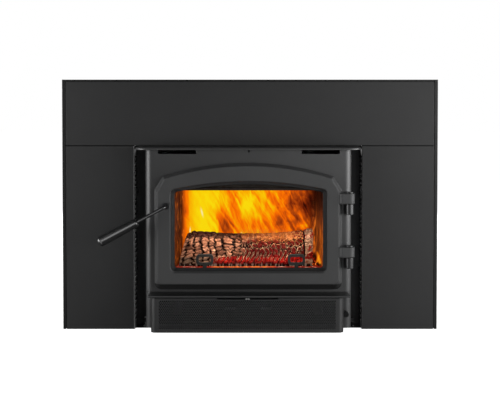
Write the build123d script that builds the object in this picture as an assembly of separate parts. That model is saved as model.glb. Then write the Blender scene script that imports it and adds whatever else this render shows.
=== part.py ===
from build123d import *
import math
import os

# Wood-burning fireplace insert with a three-panel surround.
# Millimetres. X to the right seen from the room, Y into the chimney, Z up.
# Z = 0 is the hearth. Depths are given as d, the distance in front of the
# surround's face, so a negative d is inside the masonry opening.

# ---------------------------------------------------------------- surround
SURROUND_W = 1200.0
SURROUND_H = 800.0
FACE_Y = -133.0          # Y of the surround's face, which centres the box
SEAM_Z = 589.0           # joint between the top panel and the side panels
OPEN_L, OPEN_R = -369.4, 358.2   # inner edges of the side panels
SHEET = 1.5
GROOVE = 2.0             # shadow gap between panel and edge trim
TRIM_W = 10.0
INNER_FLANGE = 60.0
SLOT_H, SLOT_TOP, SLOT_PITCH, SLOT_N = 7.6, 553.2, 15.4, 35   # ladder slots in the flange
BRACKET_Z = (436.0, 190.0)
SCREW_D = -44.0          # screws that hold the side panels to their brackets

# -------------------------------------------------------------------- body
XC = -5.6                # centre of the body, the door and the opening
BODY_X0, BODY_X1 = -325.4, 315.6      # sides of the body
BODY_D = 85.0            # face of the body
BODY_Z0, BODY_Z1 = 25.0, 579.0
BODY_R = 20.0            # bent vertical corner
BODY_T = 5.0
SHELL_BACK = -20.0
CASE_T = 3.0
CASE_BACK = -420.0
TOP_T = 8.0
TOP_HALF = 351.5
TOP_D = 100.0
TOP_R = 40.0
HOT_SLOTS = ((-285.8, -166.8), (159.4, 278.4))
SLOT_Z = 566.0

# ----------------------------------------------------------------- firebox
FB_IN = 272.0            # half width inside the steel
FB_T = 5.0
FB_Z0, FB_Z1 = 144.0, 550.0
FB_BACK = -365.0
BRICK = 32.0
BRICK_FRONT = 40.0
BRICK_TOP = 477.0
TUBE_R, TUBE_Z = 11.0, 489.0
TUBE_D = (0.0, -100.0, -200.0, -300.0)
BAFFLE_T = 25.0
FLUE_D = -190.0
FLUE_R_IN, FLUE_R_OUT = 77.5, 81.5
FLUE_TOP = 641.0

# -------------------------------------------------------------------- door
FLANGE_BACK, FLANGE_FRONT, FACE_D = 89.0, 95.0, 115.0
FLANGE_O = (289.5, 147.5, 456.0, 263.5, 497.5, 539.0, 22.0)
FOOT_O = (287.7, 149.5, 455.4, 262.4, 496.0, 537.2, 20.5)
FACE_O = (279.0, 167.4, 450.5, 256.0, 491.4, 530.3, 16.0)
XW = -3.8                # centre of the window
WIN_OUT = (240.5, 206.2, 457.8, 484.1, 14.5)
WIN_MID = (235.2, 211.0, 453.6, 478.8, 11.5)
WIN_IN = (228.5, 216.1, 448.8, 473.2, 8.5)
LIP_D, LEDGE_D = 101.0, 103.2
GLASS_T = 5.0
GLASS_GROW = 11.0
HINGE_X, HINGE_D = 306.2, 105.0
PIN_R = 5.0
RUN = 0.05               # radial running clearance
LUG_R, KNUCKLE_R = 15.8, 12.3
LUG_Z = ((414.0, 445.9), (249.6, 280.6))
KNUCKLE_Z = ((380.8, 412.3), (214.6, 247.9))

# ------------------------------------------------------------------ handle
PIVOT_X, PIVOT_Z = -258.0, 407.4
HANDLE_D = 140.0
HANDLE_DROP = 28.3       # degrees below level
ROD_R = 5.5
ROD_LEN = 97.0
GRIP_LEN = 132.0
CAM_R = 10.5

# --------------------------------------------------------------- base box
BOX_L, BOX_R = -303.8, 286.4
BOX_Z0, BOX_Z1 = 22.4, 128.0
BOX_D = 135.0
BOX_CR = 16.0
BOX_T = 2.0
MESH_L, MESH_R = -280.0, 262.6
MESH_Z0, MESH_Z1 = 31.6, 122.3
HOLE_R = 2.35
HOLE_PX, HOLE_PZ = 6.5, 4.9
LEVER_X = -7.5
NOTCH_HALF = 94.1
NOTCH_Z = 124.3
LIP_L, LIP_R = -311.0, 304.5
LIP_Z0, LIP_Z1 = 131.5, 136.6
LIP_FRONT = 145.0
FAN_D, FAN_Z = 25.0, 72.0
KNOB_X, KNOB_Z = 297.0, 71.0

os.makedirs("parts", exist_ok=True)
LOW = (Align.MIN, Align.MIN, Align.MIN)


def yd(d):
    return FACE_Y - d


def blk(x0, x1, d0, d1, z0, z1):
    return Pos(x0, yd(d1), z0) * Box(x1 - x0, d1 - d0, z1 - z0, align=LOW)


def cyl_y(x, z, d0, d1, r):
    return Pos(x, yd((d0 + d1) / 2), z) * Rot(90, 0, 0) * Cylinder(r, d1 - d0)


def cyl_x(x0, x1, d, z, r):
    return Pos((x0 + x1) / 2, yd(d), z) * Rot(0, 90, 0) * Cylinder(r, x1 - x0)


def cyl_z(x, d, z0, z1, r):
    return Pos(x, yd(d), (z0 + z1) / 2) * Cylinder(r, z1 - z0)


def at_d(d):
    """Drawing plane parallel to the surround: local x is X, local y is Z."""
    return Plane(origin=(0, yd(d), 0), x_dir=(1, 0, 0), z_dir=(0, -1, 0))


def front(face, d0, d1):
    return extrude(at_d(d0) * face, amount=d1 - d0)


def hex_z(x, d, z0, z1, flats):
    return extrude(Pos(x, yd(d), z0) * RegularPolygon(flats / 2, 6, major_radius=False), amount=z1 - z0)


def hex_y(x, z, d0, d1, flats):
    return extrude(at_d(d0) * (Pos(x, z) * RegularPolygon(flats / 2, 6, major_radius=False)), amount=d1 - d0)


def hex_x(x0, x1, d, z, flats):
    plane = Plane(origin=(x0, yd(d), z), x_dir=(0, 1, 0), z_dir=(1, 0, 0))
    return extrude(plane * RegularPolygon(flats / 2, 6, major_radius=False), amount=x1 - x0)


def save(name, *solids):
    """One file for each piece, or for each group of like pieces."""
    shapes = []
    for s in solids:
        shapes += list(s.solids())
    for s in shapes:
        assert s.is_valid, name
    obj = shapes[0] if len(shapes) == 1 else Compound(children=shapes)
    obj.label = name
    export_step(obj, f"parts/{name}.step")
    return shapes


def door_outline(o, grow=0.0):
    """Square foot, clipped shoulders and a low arch. grow moves every side."""
    w, zb, zs, wc, zc, zt, r = o
    rad = (wc * wc + (zt - zc) ** 2) / (2 * (zt - zc))
    zo = zt - rad
    rad += grow
    ux, uz = wc - w, zc - zs
    n = math.hypot(ux, uz)
    nx, nz = uz / n, -ux / n
    px, pz = w + nx * grow, zs + nz * grow
    w2 = w + grow
    t = (w2 - px) / ux
    zs2 = pz + t * uz
    a = (ux * ux + uz * uz)
    b = 2 * (px * ux + (pz - zo) * uz)
    c = px * px + (pz - zo) ** 2 - rad * rad
    t = (-b + math.sqrt(b * b - 4 * a * c)) / (2 * a)
    wc2, zc2 = px + t * ux, pz + t * uz
    zb2, zt2, r2 = zb - grow, zo + rad, max(r + grow, 1.0)
    k = r2 * (1 - math.sqrt(0.5))
    lines = [
        Line((XC - w2 + r2, zb2), (XC + w2 - r2, zb2)),
        ThreePointArc((XC + w2 - r2, zb2), (XC + w2 - k, zb2 + k), (XC + w2, zb2 + r2)),
        Line((XC + w2, zb2 + r2), (XC + w2, zs2)),
        Line((XC + w2, zs2), (XC + wc2, zc2)),
        ThreePointArc((XC + wc2, zc2), (XC, zt2), (XC - wc2, zc2)),
        Line((XC - wc2, zc2), (XC - w2, zs2)),
        Line((XC - w2, zs2), (XC - w2, zb2 + r2)),
        ThreePointArc((XC - w2, zb2 + r2), (XC - w2 + k, zb2 + k), (XC - w2 + r2, zb2)),
    ]
    return make_face(lines)


def window_outline(o, grow=0.0):
    """Rectangle with a low arched head and rounded corners."""
    w, zb, zc, zt, r = o
    rad = (w * w + (zt - zc) ** 2) / (2 * (zt - zc))
    zo = zt - rad
    rad += grow
    w2 = w + grow
    zc2 = zo + math.sqrt(rad * rad - w2 * w2)
    sk = make_face([
        Line((XW - w2, zb - grow), (XW + w2, zb - grow)),
        Line((XW + w2, zb - grow), (XW + w2, zc2)),
        ThreePointArc((XW + w2, zc2), (XW, zo + rad), (XW - w2, zc2)),
        Line((XW - w2, zc2), (XW - w2, zb - grow)),
    ])
    return fillet(sk.vertices(), r + max(grow, 0.0) * 0.6)


# ================================================================ SURROUND
def top_panel():
    z0, z1 = SEAM_Z + 0.6, SURROUND_H - 6.5
    e = SURROUND_W / 2 - TRIM_W - GROOVE
    p = blk(-e, e, -SHEET, 0, z0, z1)
    for s in (-1, 1):
        a, b = sorted((s * e, s * (e - SHEET)))
        p += blk(a, b, -12, 0, z0, z1)
        a, b = sorted((s * (e - SHEET), s * (SURROUND_W / 2 - SHEET)))
        p += blk(a, b, -12, -10.5, z0, z1)
    p += blk(-e, e, -12, 0, z1 - SHEET, z1)
    p += blk(-SURROUND_W / 2 + SHEET, SURROUND_W / 2 - SHEET, -12, -10.5, z1 - SHEET, SURROUND_H - SHEET)
    p += blk(-e + SHEET, e - SHEET, -20, 0, z0, z0 + SHEET)
    for s in (-1, 1):
        p -= cyl_z(s * 480, -15, z0 - 1, z0 + 3, 2.7)
    return p


def side_panel(side):
    inner = OPEN_L if side < 0 else OPEN_R
    e = side * (SURROUND_W / 2 - TRIM_W - GROOVE)
    top = SEAM_Z - 0.8

    def b(x0, x1, *r):
        x0, x1 = sorted((x0, x1))
        return blk(x0, x1, *r)

    flange = inner + side * SHEET
    p = b(e, inner, -SHEET, 0, 0, top)
    p += b(e, e - side * SHEET, -12, 0, 0, top)
    p += b(e - side * SHEET, side * (SURROUND_W / 2 - SHEET), -12, -10.5, 0, top)
    p += b(flange, inner, -INNER_FLANGE, 0, 0, top)
    p += b(e, inner, -20, 0, 0, SHEET)
    p += b(e, inner, -20, 0, top - SHEET, top)
    p += b(flange, flange + side * 2, -SHEET - 2, -SHEET, 0, top)
    bend = [ed for ed in p.edges().filter_by(Axis.Z)
            if abs(ed.center().X - inner) < 0.01 and abs(ed.center().Y - yd(0)) < 0.01]
    p = fillet(bend, 3.4)
    x0, x1 = sorted((inner - side * 2, inner + side * 4))
    r = SLOT_H / 2
    holes = []
    for i in range(SLOT_N):
        z = SLOT_TOP - i * SLOT_PITCH
        back = -26 if min(abs(z - zb) for zb in BRACKET_Z) < 14 + r + 1 else -52
        holes.append(blk(x0, x1, back + r, -8 - r, z - r, z + r))
        holes += [cyl_x(x0, x1, back + r, z, r), cyl_x(x0, x1, -8 - r, z, r)]
    for zb in BRACKET_Z:
        holes.append(cyl_x(x0, x1, SCREW_D, zb, 3.3))
    p -= holes
    p -= cyl_z(side * 480, -15, top - 3, top + 1, 2.7)
    return p


save("surround_top_panel", top_panel())
save("surround_left_panel", side_panel(-1))
save("surround_right_panel", side_panel(1))

h = SURROUND_W / 2
side_trims = []
for s in (-1, 1):
    a, b = sorted((s * h, s * (h - TRIM_W)))
    t = blk(a, b, -SHEET, 0, 0, SURROUND_H)
    a, b = sorted((s * h, s * (h - SHEET)))
    t += blk(a, b, -28, 0, 0, SURROUND_H)
    edge = [ed for ed in t.edges().filter_by(Axis.Z)
            if abs(ed.center().X - s * h) < 0.01 and abs(ed.center().Y - yd(0)) < 0.01]
    side_trims.append(fillet(edge, 1.0))
tt = blk(-h + SHEET, h - SHEET, -3.0, -1.5, SURROUND_H - 4.5, SURROUND_H)
tt += blk(-h + SHEET, h - SHEET, -28, -1.5, SURROUND_H - SHEET, SURROUND_H)
save("edge_trims", *side_trims, tt)

# joining strips behind the seam, one each side, hooked under the lower return
plates = []
for s, inner in ((-1, OPEN_L), (1, OPEN_R)):
    a, b = sorted((inner + s * (SHEET + 0.3), s * (SURROUND_W / 2 - SHEET - 0.5)))
    p = blk(a, b, -23, -20, SEAM_Z - 30, SEAM_Z + 30)
    a, b = sorted((s * 455, s * 505))
    p += blk(a, b, -23, -4, SEAM_Z - 4.5, SEAM_Z - 2.3)
    p -= cyl_z(s * 480, -15, SEAM_Z - 6, SEAM_Z - 1, 2.7)
    plates.append(p)
save("panel_joining_plates", *plates)

brackets, screws = [], []
for s, inner, wall in ((-1, OPEN_L, BODY_X0), (1, OPEN_R, BODY_X1)):
    for zb in BRACKET_Z:
        a, b = sorted((inner, inner - s * 2.0))
        p = blk(a, b, -60, -30, zb - 14, zb + 14)
        a, b = sorted((inner, wall))
        p += blk(a, b, -60, -58, zb - 14, zb + 14)
        p -= cyl_x(min(inner, inner - s * 4) - 1, max(inner, inner - s * 4) + 1, SCREW_D, zb, 3.3)
        brackets.append(p)
        a, b = sorted((inner - s * 2.0, inner - s * 6.0))
        sc = hex_x(a, b, SCREW_D, zb, 10.0)
        a, b = sorted((inner - s * 2.5, inner + s * 9.0))
        sc += cyl_x(a, b, SCREW_D, zb, 3.0)
        screws.append(sc)
save("surround_brackets", *brackets)
save("surround_screws", *screws)

# closures of the gaps beside and above the body; the side ones turn forward at the foot
BOLT_OUT = 14.8          # levelling bolts, from the side of the body
strips = [blk(OPEN_L, OPEN_R, -23, -20, BODY_Z1, 600)]
for a, b, x in ((OPEN_L, BODY_X0, BODY_X0 - BOLT_OUT), (BODY_X1, OPEN_R, BODY_X1 + BOLT_OUT)):
    p = blk(a, b, -62, -60, 0, 578) + blk(a, b, -62, -16, 0, 1.5)
    if x < 0:
        p += blk(a - 16, a, -62, -60, 0, 578)
    else:
        p += blk(b, b + 16, -62, -60, 0, 578)
    strips.append(p - cyl_z(x, -40, -1, 3, 7.5))
save("closure_strips", *strips)

# ==================================================================== BODY
def rounded_u(x0, x1, d0, d1, z0, z1, r):
    s = blk(x0, x1, d0, d1, z0, z1)
    ed = [e for e in s.edges().filter_by(Axis.Z) if abs(e.center().Y - yd(d1)) < 0.01]
    return fillet(ed, r)


bl, br = BODY_X0, BODY_X1
shell = rounded_u(bl, br, SHELL_BACK, BODY_D, BODY_Z0, BODY_Z1, BODY_R)
shell -= rounded_u(bl + BODY_T, br - BODY_T, SHELL_BACK - 1, BODY_D - BODY_T,
                   BODY_Z0 - 1, BODY_Z1 + 1, BODY_R - BODY_T)
shell -= front(window_outline((241.0, 200.0, 458.0, 487.0, 12.0)), 70, 95)
shell -= blk(PIVOT_X - 12.5, PIVOT_X + 18, 70, 95, PIVOT_Z - 15, PIVOT_Z + 16)
for x0, x1 in HOT_SLOTS:
    c0, c1 = (2.5, 0.0) if x0 < 0 else (0.0, 2.5)
    pts = [(x0 + c0, SLOT_Z), (x1 - c1, SLOT_Z), (x1, SLOT_Z + c1), (x1, BODY_Z1 + 1),
           (x0, BODY_Z1 + 1), (x0, SLOT_Z + c0)]
    pts = [q for i, q in enumerate(pts) if q != pts[i - 1]]
    shell -= front(make_face(Polyline(*pts, close=True)), 70, 95)
shell -= cyl_y(-3.3, 574.3, 70, 95, 3.4)
shell -= blk(-290, 268, 70, 95, 34, 116)
shell -= blk(LEVER_X - NOTCH_HALF, LEVER_X + NOTCH_HALF, 70, 95, 121.5, 131.5)
shell -= cyl_y(KNOB_X, KNOB_Z, 70, 95, 5.0)
save("body_front_shell", shell)

top = rounded_u(XC - TOP_HALF, XC + TOP_HALF, SHELL_BACK, TOP_D, BODY_Z1, BODY_Z1 + TOP_T, TOP_R)
rim = [e for e in top.edges() if abs(e.center().Z - (BODY_Z1 + TOP_T)) < 0.01
       and e.center().Y < yd(SHELL_BACK) - 1]
top = fillet(rim, 5.0)
save("top_plate", top)

cl = blk(bl, bl + CASE_T, CASE_BACK, SHELL_BACK, BODY_Z0, BODY_Z1 - CASE_T)
cr = blk(br - CASE_T, br, CASE_BACK, SHELL_BACK, BODY_Z0, BODY_Z1 - CASE_T)
GROM_D, GROM_Z = -300.0, 84.0
cr -= cyl_x(br - 10, br + 10, GROM_D, GROM_Z, 8.0)
save("casing_left", cl)
save("casing_right", cr)
save("casing_back", blk(bl + CASE_T, br - CASE_T, CASE_BACK, CASE_BACK + CASE_T,
                        BODY_Z0 + CASE_T, BODY_Z1 - CASE_T))
save("casing_top", blk(bl, br, CASE_BACK, SHELL_BACK, BODY_Z1 - CASE_T, BODY_Z1)
     - cyl_z(XC, FLUE_D, 570, 590, FLUE_R_OUT + 3))
base = blk(bl + CASE_T, br - CASE_T, CASE_BACK, SHELL_BACK, BODY_Z0, BODY_Z0 + CASE_T)
base += blk(bl + BODY_T, br - BODY_T, SHELL_BACK, BODY_D - BODY_T - 15, BODY_Z0, BODY_Z0 + CASE_T)
base += blk(bl + BODY_R, br - BODY_R, SHELL_BACK, BODY_D - BODY_T, BODY_Z0, BODY_Z0 + CASE_T)
save("casing_base", base)

# rubber grommet of the blower's supply
g = cyl_x(br - 5.0, br + 2.0, GROM_D, GROM_Z, 11.0)
g -= cyl_x(br - CASE_T, br, GROM_D, GROM_Z, 12.0) - cyl_x(br - CASE_T, br, GROM_D, GROM_Z, 8.0)
g -= cyl_x(br - 10, br + 10, GROM_D, GROM_Z, 4.5)
save("power_cord_grommet", g)

# levelling bolts stand outside the casing, on welded angles
bolts, angles = [], []
for s, wall in ((-1, bl), (1, br)):
    for d in (-40.0, -360.0):
        x = wall + s * BOLT_OUT
        a, b = sorted((wall, wall + s * 22))
        p = blk(a, b, d - 15, d + 15, 17.4, 20.4)
        a, b = sorted((wall, wall + s * 2.5))
        p += blk(a, b, d - 15, d + 15, 17.4, 52)
        p += hex_z(x, d, 20.4, 27.4, 10.0)
        p -= cyl_z(x, d, 16, 29, 3.2)
        angles.append(p)
        q = cyl_z(x, d, 5, 31, 3.2) + hex_z(x, d, 0, 5.5, 10.0)
        bolts.append(q)
save("levelling_brackets", *angles)
save("levelling_bolts", *bolts)

# ================================================================= FIREBOX
fi, fo = FB_IN, FB_IN + FB_T
fbf = BODY_D - BODY_T
save("firebox_floor", blk(XC - fo, XC + fo, FB_BACK, fbf, FB_Z0, FB_Z0 + FB_T))
save("firebox_side_plates",
     blk(XC - fo, XC - fi, FB_BACK, fbf, FB_Z0 + FB_T, FB_Z1 - FB_T),
     blk(XC + fi, XC + fo, FB_BACK, fbf, FB_Z0 + FB_T, FB_Z1 - FB_T))
save("firebox_back", blk(XC - fi, XC + fi, FB_BACK, FB_BACK + FB_T, FB_Z0 + FB_T, FB_Z1 - FB_T))
save("firebox_roof", blk(XC - fo, XC + fo, FB_BACK, fbf, FB_Z1 - FB_T, FB_Z1)
     - cyl_z(XC, FLUE_D, FB_Z1 - 20, FB_Z1 + 5, 72.0))

stands = []
for s in (-1, 1):
    x = XC + s * 246
    a, b = sorted((x, x + s * 3))
    p = blk(a, b, -350, -80, BODY_Z0 + CASE_T, FB_Z0)
    a, b = sorted((x - s * 24, x))
    p += blk(a, b, -350, -80, BODY_Z0 + CASE_T, BODY_Z0 + CASE_T + 3)
    p += blk(a, b, -350, -80, FB_Z0 - 3, FB_Z0)
    stands.append(p)
save("firebox_stands", *stands)


def courses(x0, x1, d0, d1, z0, z1, nx, nd, zs):
    """Bricks laid with one millimetre joints. zs lists the course joints."""
    out = []
    zz = [z0] + list(zs) + [z1]
    for i in range(nx):
        for j in range(nd):
            for k in range(len(zz) - 1):
                a = x0 + (x1 - x0) * i / nx + (0.5 if i else 0)
                b = x0 + (x1 - x0) * (i + 1) / nx - (0.5 if i < nx - 1 else 0)
                c = d0 + (d1 - d0) * j / nd + (0.5 if j else 0)
                e = d0 + (d1 - d0) * (j + 1) / nd - (0.5 if j < nd - 1 else 0)
                f = zz[k] + (0.5 if k else 0)
                g2 = zz[k + 1] - (0.5 if k < len(zz) - 2 else 0)
                out.append(blk(a, b, c, e, f, g2))
    return out


bz = FB_Z0 + FB_T
bb = FB_BACK + FB_T + BRICK
save("floor_bricks", *courses(XC - fi + BRICK, XC + fi - BRICK, bb, BRICK_FRONT, bz, bz + BRICK, 4, 3, []))
save("side_bricks",
     *courses(XC - fi, XC - fi + BRICK, bb, BRICK_FRONT, bz, BRICK_TOP, 1, 3, [bz + 229]),
     *courses(XC + fi - BRICK, XC + fi, bb, BRICK_FRONT, bz, BRICK_TOP, 1, 3, [bz + 229]))
save("back_bricks", *courses(XC - fi, XC + fi, bb - BRICK, bb, bz, BRICK_TOP, 5, 1, [bz + 229]))

tubes = []
for d in TUBE_D:
    t = cyl_x(XC - fi, XC + fi, d, TUBE_Z, TUBE_R) - cyl_x(XC - fi - 1, XC + fi + 1, d, TUBE_Z, TUBE_R - 1.5)
    t -= [cyl_y(XC + x, TUBE_Z - 4, d, d + 20, 1.6) for x in range(-220, 221, 55)]
    tubes.append(t)
save("secondary_air_tubes", *tubes)
save("baffle_board", blk(XC - fi + 1, XC + fi - 1, -345, 10, TUBE_Z + TUBE_R, TUBE_Z + TUBE_R + BAFFLE_T))

prof = [(fbf, 512), (fbf - 2, 512), (fbf - 2, 491), (58, 473), (58, 455), (53, 455), (53, 451.4),
        (63, 451.4), (63, 458.5), (60, 460.5), (60, 472.1), (fbf, 490)]
yz = Plane(origin=(XC - 235, 0, 0), x_dir=(0, 1, 0), z_dir=(1, 0, 0))
save("air_wash_deflector",
     extrude(yz * make_face(Polyline(*[(yd(d), z) for d, z in prof], close=True)), amount=462))

collar = cyl_z(XC, FLUE_D, FB_Z1, FLUE_TOP, FLUE_R_OUT) + cyl_z(XC, FLUE_D, FB_Z1, FB_Z1 + 5, 98)
collar -= cyl_z(XC, FLUE_D, FB_Z1 - 1, FLUE_TOP + 1, FLUE_R_IN)
save("flue_collar", collar)

irons = []
for x in (XC - 136.8, XC + 151.8):
    ring = RectangleRounded(54.4, 34.0, 11.0) - RectangleRounded(38.4, 18.0, 5.0)
    p = front(Pos(x, 232) * ring, 44, 52)
    p += blk(x - 6, x + 6, 44, 52, bz, 216)
    p += blk(x - 20, x + 20, 42, 62, bz, bz + 4)
    irons.append(p)
save("andirons", *irons)

# split log lying across the grate area
LOG_Z = bz + BRICK
fv = make_face(Polyline((-229, LOG_Z), (-229, 214), (-206, 311), (-180, 318), (-100, 314), (70, 314),
                        (145, 321), (203, 328), (203, LOG_Z), close=True))
sv = make_face(Polyline(*[(yd(d), z) for d, z in
                          ((14, LOG_Z), (30, LOG_Z + 30), (30, 268), (12, 304), (-18, 326), (-44, 328),
                           (-76, 306), (-104, 262), (-104, LOG_Z + 22), (-88, LOG_Z))], close=True))
log = front(fv, -120, 40) & extrude(Plane(origin=(-260, 0, 0), x_dir=(0, 1, 0), z_dir=(1, 0, 0)) * sv, amount=520)
save("fuel_log", log)

catch = blk(XC - fi, PIVOT_X - 13.0, 50, fbf, PIVOT_Z - 19, PIVOT_Z + 19)
save("latch_catch", catch)

# ================================================================ ASH LIP
lip = blk(LIP_L, LIP_R, BODY_D, LIP_FRONT, LIP_Z0, LIP_Z1)
lip = fillet([e for e in lip.edges().filter_by(Axis.X) if e.center().Y < yd(LIP_FRONT) + 0.1], 2.4)
save("ash_lip", lip)

# ============================================================ AIR CONTROL
box = blk(-120, 105, 5, 78, 135, FB_Z0) - blk(-118, 103, 7, 76, 137, FB_Z0 + 1)
rails = blk(-180, 165, 14, 16, 129, 135) + blk(-180, 165, 14, 20, 129, 130.6)
rails += blk(-180, 165, 64, 66, 129, 135) + blk(-180, 165, 60, 66, 129, 130.6)
rails += blk(-180, 165, 14, 66, 135, 137)
inlet = box + rails
for x in (-75, -7.5, 60):
    inlet -= blk(x - 14, x + 14, 30, 50, 134, 138)
save("air_inlet_box", inlet)
valve = blk(-95, 80, 17, 63, 131.5, 134.4)
for x in (-75, 60):
    valve -= blk(x - 14, x + 14, 30, 50, 131, 135)
valve -= blk(-38, -20, 30, 50, 131, 135)
save("air_valve_plate", valve)
lever = blk(LEVER_X - 6.5, LEVER_X + 6.5, 26, 140, 125.2, 128.2)
lever += blk(LEVER_X - 6.5, LEVER_X + 6.5, 26, 57, 128.2, 131.5)
tip = blk(LEVER_X - 7.2, LEVER_X + 7.2, 138.5, 141.0, 123.6, 130.5)
tip = fillet(tip.edges().filter_by(Axis.Y), 2.0)
lever += tip
for x in (-3.6, 3.6):
    rivet = cyl_y(LEVER_X + x, 127.1, 140.5, 144.6, 3.0)
    lever += fillet([e for e in rivet.edges() if abs(e.center().Y - yd(144.6)) < 0.01], 2.0)
save("air_control_lever", lever)

# ================================================================== DOOR
def lofted(a, da, b, db):
    return loft([at_d(da) * a, at_d(db) * b], ruled=True)


frame = front(door_outline(FLANGE_O), FLANGE_BACK, FLANGE_FRONT)
frame += lofted(door_outline(FOOT_O), FLANGE_FRONT, door_outline(FACE_O), FACE_D)
wi, wm, wo = WIN_IN, WIN_MID, WIN_OUT
over = 0.5
k = over / (FACE_D - LEDGE_D)
wo2 = tuple(o + (o - i) * k for o, i in zip(wo, wm))
frame -= lofted(window_outline(wm), LEDGE_D, window_outline(wo2), FACE_D + over)
frame -= lofted(window_outline(wi), LIP_D, window_outline(wm), LEDGE_D)
frame -= front(window_outline(wi), 99, LIP_D)
frame -= front(window_outline(wi, GLASS_GROW + 0.5), 94, 100)
frame -= front(window_outline(wi, 23.0), FLANGE_BACK - 1, 94)
frame -= front(door_outline(FACE_O, -2.7) - door_outline(FACE_O, -11.7), FLANGE_BACK - 1, 94)
frame -= cyl_y(PIVOT_X, PIVOT_Z, 80, 120, 8.0)

CLIPS = [(-1, 0, 250.0), (-1, 0, 360.0), (1, 0, 250.0), (1, 0, 415.0),
         (0, -1, -120.0), (0, -1, 120.0), (0, 1, -120.0), (0, 1, 120.0)]
w_in, z_in, _, zt_in, _ = wi
rad_in = (w_in ** 2 + (wi[3] - wi[2]) ** 2) / (2 * (wi[3] - wi[2]))
clips, clip_screws = [], []
for sx, sz, t in CLIPS:
    if sx:
        x0, x1 = sorted((XW + sx * (w_in + 2), XW + sx * (w_in + 21)))
        c = blk(x0, x1, 92, 94, t - 12, t + 12)
        hx, hz = XW + sx * (w_in + 16.5), t
    elif sz < 0:
        c = blk(XW + t - 12, XW + t + 12, 92, 94, z_in - 21, z_in - 2)
        hx, hz = XW + t, z_in - 16.5
    else:
        z = zt_in - rad_in + math.sqrt(rad_in ** 2 - t ** 2)
        c = blk(XW + t - 12, XW + t + 12, 92, 94, z + 3, z + 20)
        hx, hz = XW + t, z + 16.0
    c -= cyl_y(hx, hz, 90, 96, 2.2)
    clips.append(c)
    frame -= cyl_y(hx, hz, 90, 104, 2.0)
    clip_screws.append(cyl_y(hx, hz, 92, 103.5, 2.0) + cyl_y(hx, hz, 90, 92, 3.4))
save("door_frame", frame)
save("glass_clips", *clips)
save("glass_clip_screws", *clip_screws)
save("door_glass", front(window_outline(wi, GLASS_GROW), 94, 99))
save("glass_gasket", front(window_outline(wi, GLASS_GROW) - window_outline(wi, 1.5), 99, 100))
gk = front(door_outline(FACE_O, -2.9) - door_outline(FACE_O, -11.5), BODY_D + 0.3, 94)
save("door_gasket", gk)

lugs, knuckles, pins, washers = [], [], [], []
for (z0, z1), (k0, k1) in zip(LUG_Z, KNUCKLE_Z):
    g = cyl_z(HINGE_X, HINGE_D, z0, z1, LUG_R)
    ramp = [(279.0, 98), (HINGE_X, 98), (HINGE_X, HINGE_D + LUG_R), (281.5, HINGE_D + LUG_R),
            (274.0, FACE_D + 0.4), (274.0, 110)]
    g += extrude(Plane.XY.offset(z0) * make_face(Polyline(*[(x, yd(d)) for x, d in ramp], close=True)), amount=z1 - z0)
    g -= cyl_z(HINGE_X, HINGE_D, z0 - 1, z1 + 1, PIN_R + RUN)
    g -= frame
    lugs.append(g)
    n = cyl_z(HINGE_X, HINGE_D, k0, k1, KNUCKLE_R)
    n = fillet([e for e in n.edges() if abs(e.center().Z - k0) < 0.01], 1.6)
    n += blk(HINGE_X - 7, HINGE_X + 7, 66, HINGE_D, k0, k1)
    n -= cyl_z(HINGE_X, HINGE_D, k0 - 1, k1 + 1, PIN_R)
    n -= shell
    n = max(n.solids(), key=lambda s: s.volume)
    knuckles.append(n)
    p = cyl_z(HINGE_X, HINGE_D, k0 + 0.8, z1 + 0.6, PIN_R)
    p += cyl_z(HINGE_X, HINGE_D, z1 + 0.6, z1 + 5.0, 11.6)
    top_edge = [e for e in p.edges() if abs(e.center().Z - (z1 + 5.0)) < 0.01]
    pins.append(fillet(top_edge, 1.8))
    washers.append(cyl_z(HINGE_X, HINGE_D, k1, k1 + 1.1, 10.5)
                   - cyl_z(HINGE_X, HINGE_D, k1 - 1, k1 + 3, PIN_R + 0.2))
save("door_hinge_lugs", *lugs)
save("body_hinge_knuckles", *knuckles)
save("hinge_pins", *pins)
save("hinge_washers", *washers)

# ================================================================ HANDLE
bush = cyl_y(PIVOT_X, PIVOT_Z, 90, FACE_D, 8.0) + cyl_y(PIVOT_X, PIVOT_Z, FACE_D, 119, 10.4)
bush -= cyl_y(PIVOT_X, PIVOT_Z, 85, 125, ROD_R + RUN)
save("handle_bushing", bush)

a = math.radians(HANDLE_DROP)
ux, uz = -math.cos(a), -math.sin(a)
start = (PIVOT_X, yd(76), PIVOT_Z)
corner = (PIVOT_X, yd(HANDLE_D), PIVOT_Z)
reach = ROD_LEN + 100
end = (PIVOT_X + ux * reach, yd(HANDLE_D), PIVOT_Z + uz * reach)
path = FilletPolyline(start, corner, end, radius=10)
rod = sweep(Plane(origin=start, z_dir=(0, -1, 0)) * Circle(ROD_R), path=path)
rod += cyl_y(PIVOT_X, PIVOT_Z, 58, 76, 4.0)
save("handle_rod", rod)

gs = Vector(PIVOT_X + ux * ROD_LEN, yd(HANDLE_D), PIVOT_Z + uz * ROD_LEN)
gp = Plane(origin=gs, x_dir=(ux, 0, uz), z_dir=(0, -1, 0))
L = GRIP_LEN
prof = make_face([
    Line((0, 0), (0, 10.0)),
    ThreePointArc((0, 10.0), (1.0, 12.4), (3.5, 13.4)),
    ThreePointArc((3.5, 13.4), (64, 15.4), (L - 12, 15.6)),
    Line((L - 12, 15.6), (L - 11.4, 14.9)),
    Line((L - 11.4, 14.9), (L - 10.4, 14.9)),
    Line((L - 10.4, 14.9), (L - 9.8, 15.5)),
    ThreePointArc((L - 9.8, 15.5), (L - 3.6, 13.4), (L, 8.0)),
    Line((L, 8.0), (L, 0)),
    Line((L, 0), (0, 0)),
])
grip = revolve(gp * prof, axis=Axis(gs, (ux, 0, uz)))
hole = Plane(origin=gs, z_dir=(ux, 0, uz)) * Cylinder(ROD_R, 100, align=(Align.CENTER, Align.CENTER, Align.MIN))
grip -= hole
save("handle_grip", grip)

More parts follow.
